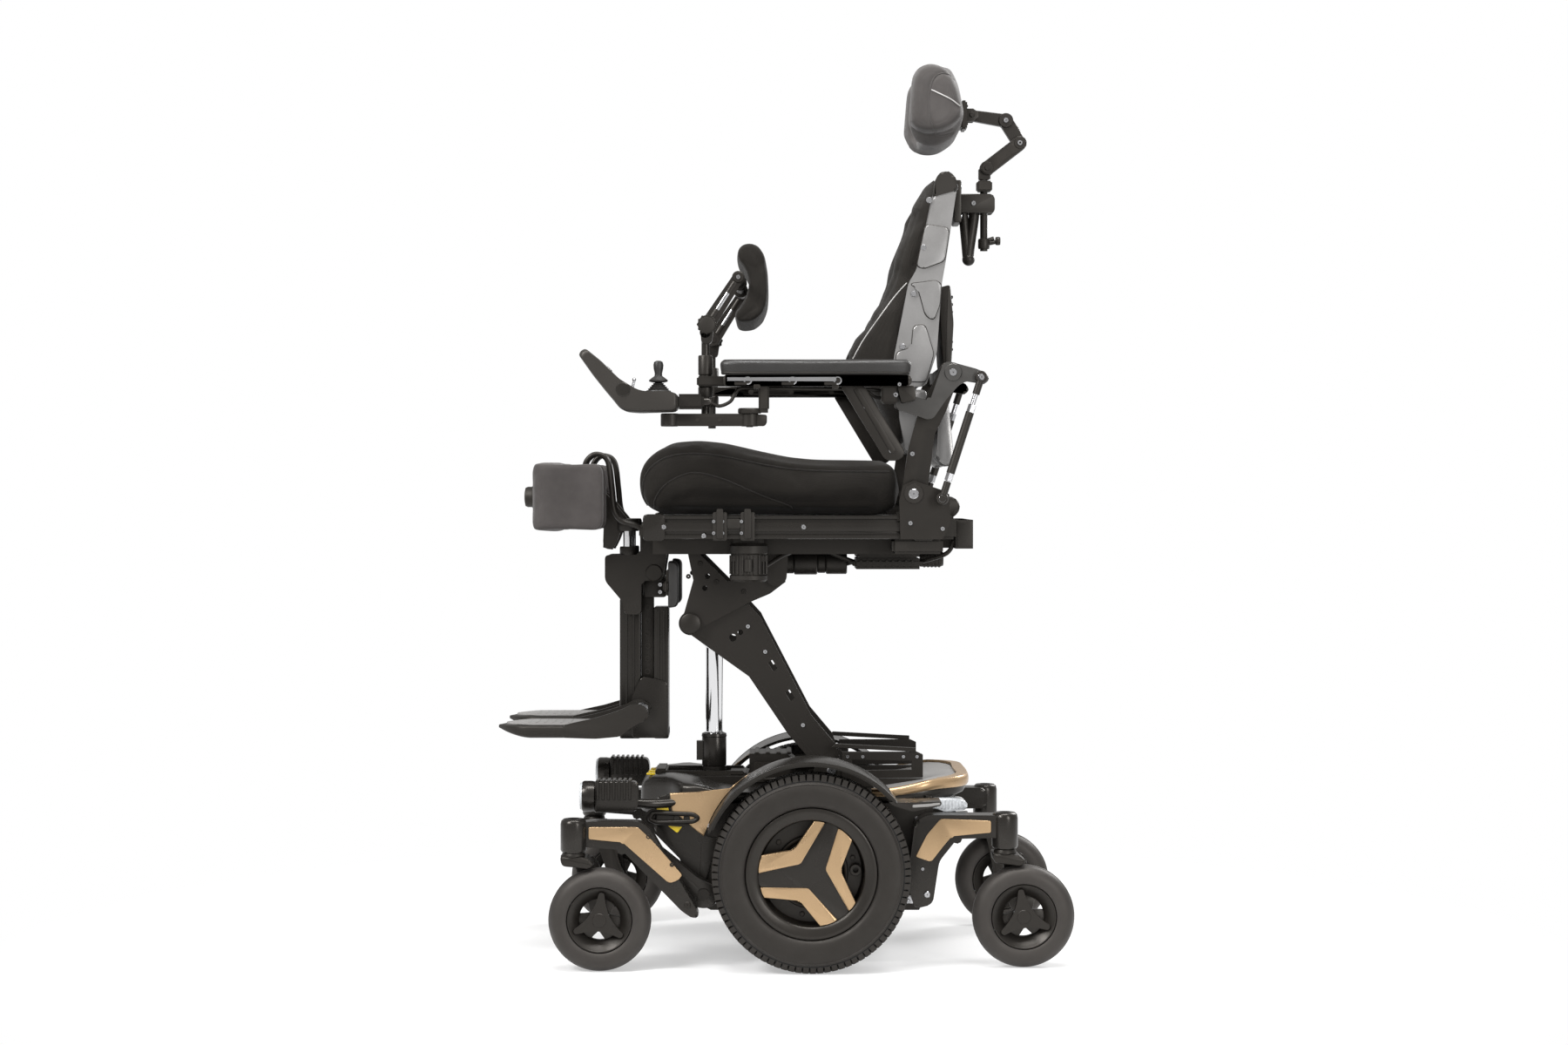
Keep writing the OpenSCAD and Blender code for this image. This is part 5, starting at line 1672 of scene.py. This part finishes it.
def chest_hardware():
    def upright(b):
        spin_up(b, -137, 246, [(AXIS, 982), (7.3, 982), (7.6, 984), (7.6, 996), (7.3, 998),
                               (7.1, 1136), (AXIS, 1136)], 40)
        prism(b, rounded([(-144, 1122), (-126, 1122), (-122, 1150), (-126, 1166), (-142, 1166),
                          (-146, 1150)], 7, 4), 236.6, 255, 3)
    to_object(both(upright), "chest_posts", "gloss", "chest_uprights")

    def knob(b):
        x, z = joint("chest_swing")
        spin(b, [(AXIS, 0), (14, 0), (16.6, 2.4), (16.6, 8.6), (15, 11), (10, 12.4),
                 (AXIS, 12.4)], x, z, 254.6, 56)
        for k in range(12):
            a = math.tau * k / 12
            spin(b, disc_profile(2.6, 1.5, 9.5, 0.8), x + 15.6 * math.cos(a), z + 15.6
                 * math.sin(a), 255, 10)
    to_object(both(knob), "chest_knobs", "plastic", "chest_uprights")

    (x0, z0), (x1, z1) = joint("chest_swing"), joint("chest_pad_tilt")
    a, c = Vector((x0, 229, z0)), Vector((x1, 229, z1))
    along = (c - a).normalized()

    def arm(b):
        tube(b, [a + along * 14, a + along * 34], 7.6, 20)
        tube(b, [c - along * 34, c - along * 8], 7.4, 20)
        spin(b, [(6.2, -7), (12, -7), (13.6, -5), (13.6, 5), (12, 7), (6.2, 7)], x0, z0, 229, 40)
        spin(b, [(AXIS, -7), (10, -7), (11.4, -5), (11.4, 6), (9, 8.6), (AXIS, 8.6)], x1, z1,
             229, 40)
    to_object(both(arm), "chest_arm_ends", "paint", "chest_arms")

    def bright(b):
        tube(b, [a + along * 20, c - along * 18], 6.8, 20)
        screw(b, x1, z1, 237.4, 4.5, 1)
    to_object(both(bright), "chest_arm_tubes", "steel", "chest_arms")


# ---------- headrest linkage ----------

def headrest_hardware():
    low, mid, tilt = joint("head_low_knob"), joint("head_mid_knob"), joint("headrest_tilt")

    def ring(b, c, r, y0, y1):
        spin(b, disc_profile(r, y0, y1, 1.5), *c, 0, 40)
    bm = bmesh.new()
    ring(bm, low, 14, -7.9, 7.9)
    prism(bm, rounded([(372, 1446), (394, 1446), (396, 1474), (378, 1474)], 5, 3), -7.9, 7.9, 2)
    block(bm, (369, -15, 1424), (398, 15, 1444), 3)
    spin_up(bm, 383, 0, [(7.05, 1316), (10, 1316), (11, 1319), (11, 1332), (10, 1335),
                         (7.05, 1335)])
    tube(bm, smooth_path([(388, 0, 1326), (400, 0, 1328), (410, 0, 1331)]), 4, 12)
    spin_along(bm, 0, 1331, [(AXIS, 405), (7, 405), (8, 407), (8, 412), (7, 414), (AXIS, 414)],
               20)
    to_object(bm, "head_post_clamps", "paint", "head_post")
    bm = bmesh.new()
    for c in (low, mid):
        for s in (RIGHT, LEFT):
            screw(bm, *c, s * 15, 5.5, s, 3)
    to_object(bm, "head_link_bolts", "steel", "head_link_low")
    bm = bmesh.new()
    a, c = Vector(low), Vector(mid)
    d = (c - a).normalized()
    n = Vector((-d.y, d.x))
    outline = [end + n * across + d * on for end, across, on in ((a, 12, -8), (a, 13, 0),
                                                                 (a, 8, 26), (c, 8, -26),
                                                                 (c, 13, 0), (c, 12, 8),
                                                                 (c, -12, 8), (c, -13, 0),
                                                                 (c, -8, -26), (a, -8, 26),
                                                                 (a, -13, 0), (a, -12, -8))]
    twin_prisms(bm, rounded(outline, 8, 4), 8.5, 15.4, 1.8)
    for s in (LEFT, RIGHT):
        for place in (low, mid):
            ring(bm, place, 12, *sorted((s * 8.2, s * 16.2)))
    to_object(bm, "head_link_plates", "paint", "head_link_low")
    bm = bmesh.new()
    elbow = (424, 1558)
    path = [(mid[0], 0, mid[1]), (446, 0, 1534), (434, 0, 1552), (416, 0, 1562), (392, 0, 1566),
            (tilt[0] + 8, 0, tilt[1])]
    tube(bm, smooth_path(path, 8), 8, 20)
    ring(bm, mid, 12.5, -7.9, 7.9)
    ring(bm, elbow, 14, -11, 11)
    ring(bm, tilt, 10.5, -8.4, 8.4)
    to_object(bm, "head_arm", "paint", "head_link_high")
    bm = bmesh.new()
    for s in (RIGHT, LEFT):
        screw(bm, *elbow, s * 11, 5.5, s, 3)
    to_object(bm, "head_arm_bolts", "steel", "head_link_high")


# ---------- legrest, knee supports and footplates ----------

def knee_hardware():
    for side, tag in SIDES:
        body, pad = "knee_support_" + SIDE_WORD[tag], "knee_pad_" + SIDE_WORD[tag]
        kx, kz = joint("knee_pad_left_tilt")
        bm = bmesh.new()
        spin_up(bm, -287, 45, [(AXIS, 783), (19, 783), (21, 786), (21, 802), (19, 806),
                               (AXIS, 806)])
        arm = rounded([(-300, 786), (-282, 792), (-288, 806), (-330, 856), (-346, 861),
                       (-357, 848), (-352, 834), (-332, 812), (-334, 760), (-330, 750),
                       (-316, 748), (-306, 768)], 7, 4)
        prism(bm, arm, 38, 52, 3)
        spin(bm, [(AXIS, 0), (11, 0), (13.5, 2), (13.5, 7), (11, 10), (AXIS, 10)], kx, kz, 28.5,
             40)
        to_object(mirror_to(bm, side), "knee_arm_" + tag, "paint", body)
        bm = bmesh.new()
        spin_up(bm, -287, 45, rect(AXIS, 738, 9.7, 784), 40)
        to_object(mirror_to(bm, side), "knee_post_" + tag, "chrome", body)
        bm = bmesh.new()
        screw(bm, -290, 797, 52, 4, 1)
        screw(bm, kx, kz, 28.6, 6, -1, 3)
        to_object(mirror_to(bm, side), "knee_bolts_" + tag, "steel", body)
        bm = bmesh.new()
        # shell behind the pad, the strap across it and the round knob in front
        plate = rounded([(-398, 800), (-352, 806), (-334, 822), (-330, 858), (-344, 880),
                         (-398, 896)], 9, 4)
        prism(bm, plate, 52.6, 58, 1.6)
        spin(bm, [(6.2, -4), (12, -4), (13, -2), (13, 2), (12, 4), (6.2, 4)], kx, kz, 55, 40)
        spin_along(bm, 108, 847, [(AXIS, -452), (21, -452), (22, -455), (20.5, -460),
                                  (19, -462), (19, -469), (17, -473.5), (10, -475), (AXIS, -475)])
        to_object(mirror_to(bm, side), "knee_shell_" + tag, "plastic", pad)
        bm = bmesh.new()
        path = smooth_path([(-345, 52, 847), (-375, 52, 847), (-398, 52.6, 847), (-398, 57, 847)])
        rings = []
        for i, p in enumerate(path):
            ahead = path[min(i + 1, len(path) - 1)] - path[max(i - 1, 0)]
            out = Vector((ahead.y, -ahead.x, 0)).normalized()
            rings.append([p + Vector((0, 0, h)) + out * d for h, d in rect(-17, -1, 17, 1)])
        loft(bm, rings)
        to_object(mirror_to(bm, side), "knee_straps_" + tag, "strap", pad)


def legrest_hardware():
    bm = bmesh.new()
    outline = rounded([(-330, 738), (-330, 690), (-298, 652), (-293, 627), (-262, 627),
                       (-262, 690), (-222, 690), (-214, 744), (-214, 771), (-238, 771),
                       (-238, 797), (-264, 797), (-264, 739)], 7, 4)
    twin_prisms(bm, outline, 52, 59.5, 2.4)
    twin_prisms(bm, outline, 31.4, 38, 2.4)
    for s in (LEFT, RIGHT):
        spin(bm, disc_profile(16, -2, 4, 2), *joint("legrest_elevate"), s * 60, 40)
        spin_up(bm, -287, s * 45, [(9.7, 738), (15, 738), (16, 741), (16, 751), (15, 754),
                                   (9.7, 754)])
    block(bm, (-262, -143, 773), (-239, 143, 792), 3)
    to_object(bm, "receivers_cover", "paint", "seat")
    bm = bmesh.new()
    for y in (-118, -84, 84, 118):
        rod = [(-256, y, 786), (-270, y, 794), (-296, y, 803), (-309, y, 822), (-314, y, 862),
               (-318, y, 898), (-323, y, 916), (-334, y, 925), (-348, y, 925), (-360, y, 914),
               (-364, y, 898), (-358, y, 886)]
        tube(bm, smooth_path(rod, 8), 4.6, 16)
        spin_up(bm, -254, y, rect(AXIS, 772, 7.5, 795), 20)
    to_object(bm, "guard_rods", "paint", "seat", declared=["leg_receivers"])
    bm = bmesh.new()
    half = 29
    spin(bm, disc_profile(14, -31, 31, 1, 8.1), *joint("legrest_elevate"), 0, 40)
    prism(bm, rounded([(-260, 658), (-217, 658), (-215, 690), (-226, 704), (-250, 704),
                       (-260, 690)], 5, 3), -half, half, 3)
    for y0, y1 in ((-14, -5), (5, 14)):
        prism(bm, rounded(rect(-264, 424, -241, 664), 3, 2), y0, y1, 1.5)
    block(bm, (-245, -13, 426), (-241.5, 13, 662), 1)
    block(bm, (-219, -124, 672), (-209, 124, 690), 3)
    for s in (LEFT, RIGHT):
        block(bm, (-214, s * 94 - 18, 664), (-207, s * 94 + 18, 712), 2)
    for z in range(470, 640, 24):
        for y in (14.5, -14.5):
            spin(bm, rect(3.2, -1, 6, 0.6), -252, z, y, 20)
    to_object(bm, "legrest_core", "paint", "legrest", declared=["legrest_head"])
    bm = bmesh.new()
    for s in (LEFT, RIGHT):
        for z in (682, 668):
            screw(bm, -228, z, s * 29, 4.5, s)
    to_object(bm, "legrest_screws", "steel", "legrest")
    bm = bmesh.new()
    for x0, x1, z0, z1 in ((-304, -265, 392, 656), (-240, -212, 392, 640)):
        prism(bm, rounded(rect(x0, z0, x1, z1), 4, 3), -half, half, 3)
        for k in (1, 2):
            x = x0 + (x1 - x0) * k / 3
            twin_prisms(bm, rect(x - 2, z0 + 14, x + 2, z1 - 6), half - 1, half + 1.6, 0.6, 1)
    prism(bm, rounded(rect(-304, 393, -212, 418), 6, 3), -31, 31, 4)
    cheek = [(-282, 394), (-214, 394), (-214, 500), (-262, 510), (-282, 470)]
    twin_prisms(bm, rounded(cheek, 8, 4), half, 35.6, 2.4)
    to_object(bm, "pole_cover", "gloss", "leg_pole", declared=["legrest_pole"])
    bm = bmesh.new()
    bolt = [(AXIS, -17), (6, -17), (6, 12), (10, 12), (11, 13.5), (9, 16), (AXIS, 16)]
    for s in (LEFT, RIGHT):
        spin(bm, [(r, h * s) for r, h in bolt], *joint("footplate_left_flip"), s * 36.5, 32)
    to_object(bm, "foot_pivot_bolts", "steel", "leg_pole")


def footplates():
    for side, tag in SIDES:
        body = "footplate_" + SIDE_WORD[tag]
        # shell: a shallow tray that narrows to the front, with a rim that climbs to the pivot
        rings = []
        count = 40
        for k in range(count + 1):
            u = k / count
            x = -523 + 208 * u
            nose = math.sin(math.pi / 2 * min(1, u / 0.28)) ** 0.7 if u else 0.12
            low = 404 + 16 * (1 - min(1, u / 0.3)) ** 1.5 + 3 * max(0, u - 0.8) / 0.2
            top = 425 + 5 * min(1, u / 0.2)
            rings.append(boxed_ring(x, 40, 101 - 65 * nose, 101 + 64 * nose, low, top, 0.34))
        bm = loft(bmesh.new(), rings)
        arm = rounded([(-402, 406), (-402, 428), (-382, 433), (-345, 441), (-315, 450),
                       (-290, 459), (-274, 467), (-262, 468), (-246, 460), (-243, 450),
                       (-248, 438), (-258, 434), (-276, 424), (-296, 408), (-340, 404)], 6, 4)
        prism(bm, arm, 36.2, 46, 3)
        prism(bm, arm, 155, 165, 3)
        x, z = joint("footplate_left_flip")
        spin(bm, [(6.1, -6), (14, -6), (15.5, -4), (15.5, 3), (14, 5), (6.1, 5)], x, z, 42, 40)
        to_object(mirror_to(bm, side), "footplate_shell_" + tag, "plastic", body,
                  declared=["footplate_" + tag])
        bm = bmesh.new()
        rings = []
        for k in range(29):
            u = k / 28
            x = -508 + 186 * u
            nose = math.sin(math.pi / 2 * min(1, (u + 0.02) / 0.3)) ** 0.7
            rings.append(boxed_ring(x, 32, 101 - 55 * nose, 101 + 55 * nose, 424, 430.5 + 1.5
                                    * min(1, u / 0.2), 0.34))
        loft(bm, rings)
        for k in range(9):
            block(bm, (-468 + 15 * k, 62, 430.5), (-462 + 15 * k, 140, 432.4), 0.8)
        to_object(mirror_to(bm, side), "footplate_tread_" + tag, "deck", body)


# ---------- joystick ----------

POD_Y = -282


def joystick():
    bm = bmesh.new()
    bar = rounded([(-204, 974), (-50, 974), (-48, 978), (-48, 992), (-52, 996), (-204, 996),
                   (-212, 990), (-212, 980)], 4, 3)
    prism(bm, bar, -291, -271, 3)
    for x, hole in ((-57, 6.2), (-200, AXIS)):
        spin_up(bm, x, -281, [(hole, 973.4), (14.5, 973.4), (16, 975), (16, 995), (14.5, 996.6),
                              (hole, 996.6)])
    prism(bm, rounded([(-57, 974), (-30, 974), (-26, 980), (-26, 994), (-57, 996)], 3, 2), -290,
          -272, 3)
    to_object(bm, "joystick_bar", "paint", "joystick_arm", declared=["joystick_arm"])
    bm = bmesh.new()
    for x in (-150, -110):
        spin(bm, rect(AXIS, 0, 3.6, -1.4), x, 985, -291, 20)
    to_object(bm, "joystick_bar_screws", "paint_soft", "joystick_arm")
    # pod: a curved shell, slimmer at the display end
    outline = [(-362, 1101), (-357, 1109), (-349, 1112), (-324, 1092), (-292, 1060),
               (-276, 1050), (-257, 1038), (-244, 1034), (-190, 1033), (-184, 1028),
               (-184, 1004), (-190, 999), (-254, 997), (-276, 999), (-288, 1005), (-300, 1020),
               (-312, 1034), (-336, 1064)]
    base = resampled(rounded(outline, 7, 3), 140)
    rings = []
    for t in eased_steps(21):
        pull = 9 * (1 - (1 - abs(t) ** 3.2) ** (1 / 3.2)) if abs(t) < 1 else 9
        ring = []
        for p in base:
            wide = 40 - 5 * max(0, -300 - p.x) / 60
            x = -262 + (p.x + 262) * (1 - pull / 98)
            z = 1044 + (p.y - 1044) * (1 - pull / 62)
            ring.append(Vector((x, POD_Y + t * wide, z)))
        rings.append(ring)
    shell = to_object(loft(bmesh.new(), rings), "pod_shell", "pod", "joystick_pod",
                      declared=["joystick_pod"])
    cut_shape(shell, spin_up(bmesh.new(), -220, POD_Y, rect(AXIS, 1006, 22, 1050)))
    cut_shape(shell, block(bmesh.new(), (-274, -312, 1034), (-258, -302, 1060), 1))
    bm = bmesh.new()
    # sloped display with a raised frame, keys on either side of the stick
    a, c = Vector((-349, 0, 1104.5)), Vector((-296, 0, 1057))
    along = (c - a).normalized()
    up = Vector((-along.z, 0, along.x))
    rings = []
    for s, w, h in ((0, 22, 0), (1.5, 26, 3), (45, 28, 3), (47, 24, 0)):
        mid = a + along * s
        rings.append([mid + up * lift + Vector((0, POD_Y + y, 0)) for lift, y in ((h - 6, -w),
                                                                                  (h, -w),
                                                                                  (h, w),
                                                                                  (h - 6, w))])
    loft(bm, rings)
    to_object(bm, "pod_screen", "screen", "joystick_pod")
    bm = bmesh.new()
    for x, y in ((-254, -314), (-254, -250), (-206, -316), (-206, -248)):
        spin_up(bm, x, y, [(AXIS, 1030), (4.6, 1030), (5, 1033.5), (4, 1035.2), (AXIS, 1035.4)],
                24)
    for k in range(3):
        block(bm, (-250 + 14 * k, -256, 1033), (-240 + 14 * k, -249, 1035.6), 1)
    spin(bm, disc_profile(13, -42, -36, 2), -281, 1038, POD_Y, 40)
    block(bm, (-188, -300, 1004), (-138, -264, 1031), 5)
    spin_along(bm, POD_Y, 1017, [(AXIS, -140), (8, -140), (8, -132), (6, -126), (AXIS, -126)], 24)
    to_object(bm, "pod_keys", "gloss", "joystick_pod")
    bm = bmesh.new()
    x, z = joint("stick_fore_aft")
    # bellows that close the well round the stick
    profile = [(22.5, 1029), (23, 1035)]
    for k in range(5):
        r = 21.5 - 2.9 * k
        profile += [(r, 1037.5 + 3.2 * k), (r - 3.6, 1038.6 + 3.2 * k)]
    profile += [(4.6, 1053), (4.6, 1047), (14, 1034), (19, 1029)]
    spin_up(bm, x, POD_Y, profile)
    to_object(bm, "stick_boot", "skin", "joystick_stick")
    bm = bmesh.new()
    spin_up(bm, x, POD_Y, [(AXIS, 1052), (12, 1052), (16.5, 1053.5), (17, 1056), (12, 1060),
                           (7, 1063.5), (6.6, 1068), (8.4, 1076), (9, 1083), (7.8, 1088.5),
                           (4, 1090.6), (AXIS, 1091)], 56)
    to_object(bm, "stick_knob", "skin", "joystick_stick", declared=["joystick_stick"])
    bm = bmesh.new()
    tx, tz = joint("mode_toggle_flick")
    tube(bm, [(tx, -307, tz), (tx + 4, -307, 1054)], 2.4, 16)
    spin(bm, disc_profile(4, -4, 4, 0.8), tx, tz, -307, 24)
    ball(bm, 3.4, (tx + 4, -307, 1056), 20, 12)
    to_object(bm, "toggle_lever", "steel", "mode_toggle", declared=["mode_toggle"])


def cables():
    """Control cable along the near arm, with a loop beside it."""
    bm = bmesh.new()
    arm = [(-128, -282, 1017), (-112, -276, 1010), (-92, -272, 1018), (-82, -270, 1034),
           (-70, -270, 1042), (-20, -268, 1042), (60, -268, 1041), (150, -266, 1040),
           (196, -256, 1034), (226, -248, 1010)]
    tube(bm, smooth_path(arm, 8), 3.2, 10)
    loop = [(150, -262, 1040), (170, -262, 1026), (190, -262, 1028), (206, -262, 1042)]
    tube(bm, smooth_path(loop, 8), 2.8, 10)
    to_object(bm, "joystick_cable", "plastic", "armrests")


# ---------- put together ----------

make_camera()
make_stage()
dress_cad_nodes()
for side_, tag_ in SIDES:
    drive_wheel(side_, tag_)
for place_ in "fr":
    for side_, tag_ in SIDES:
        caster(place_ + tag_, side_)
        fork_details(place_ + tag_, side_)
for part in (shroud, gold_trim, chassis_details, suspension_arms, headlights, lift_details,
             seat_hardware, back_shell, level_rods, arm_hardware, chest_hardware,
             headrest_hardware, knee_hardware, legrest_hardware, footplates, joystick, cables,
             seat_cushion, back_cushion, headrest, arm_pads, chest_pad, knee_pads, calf_pads):
    part()
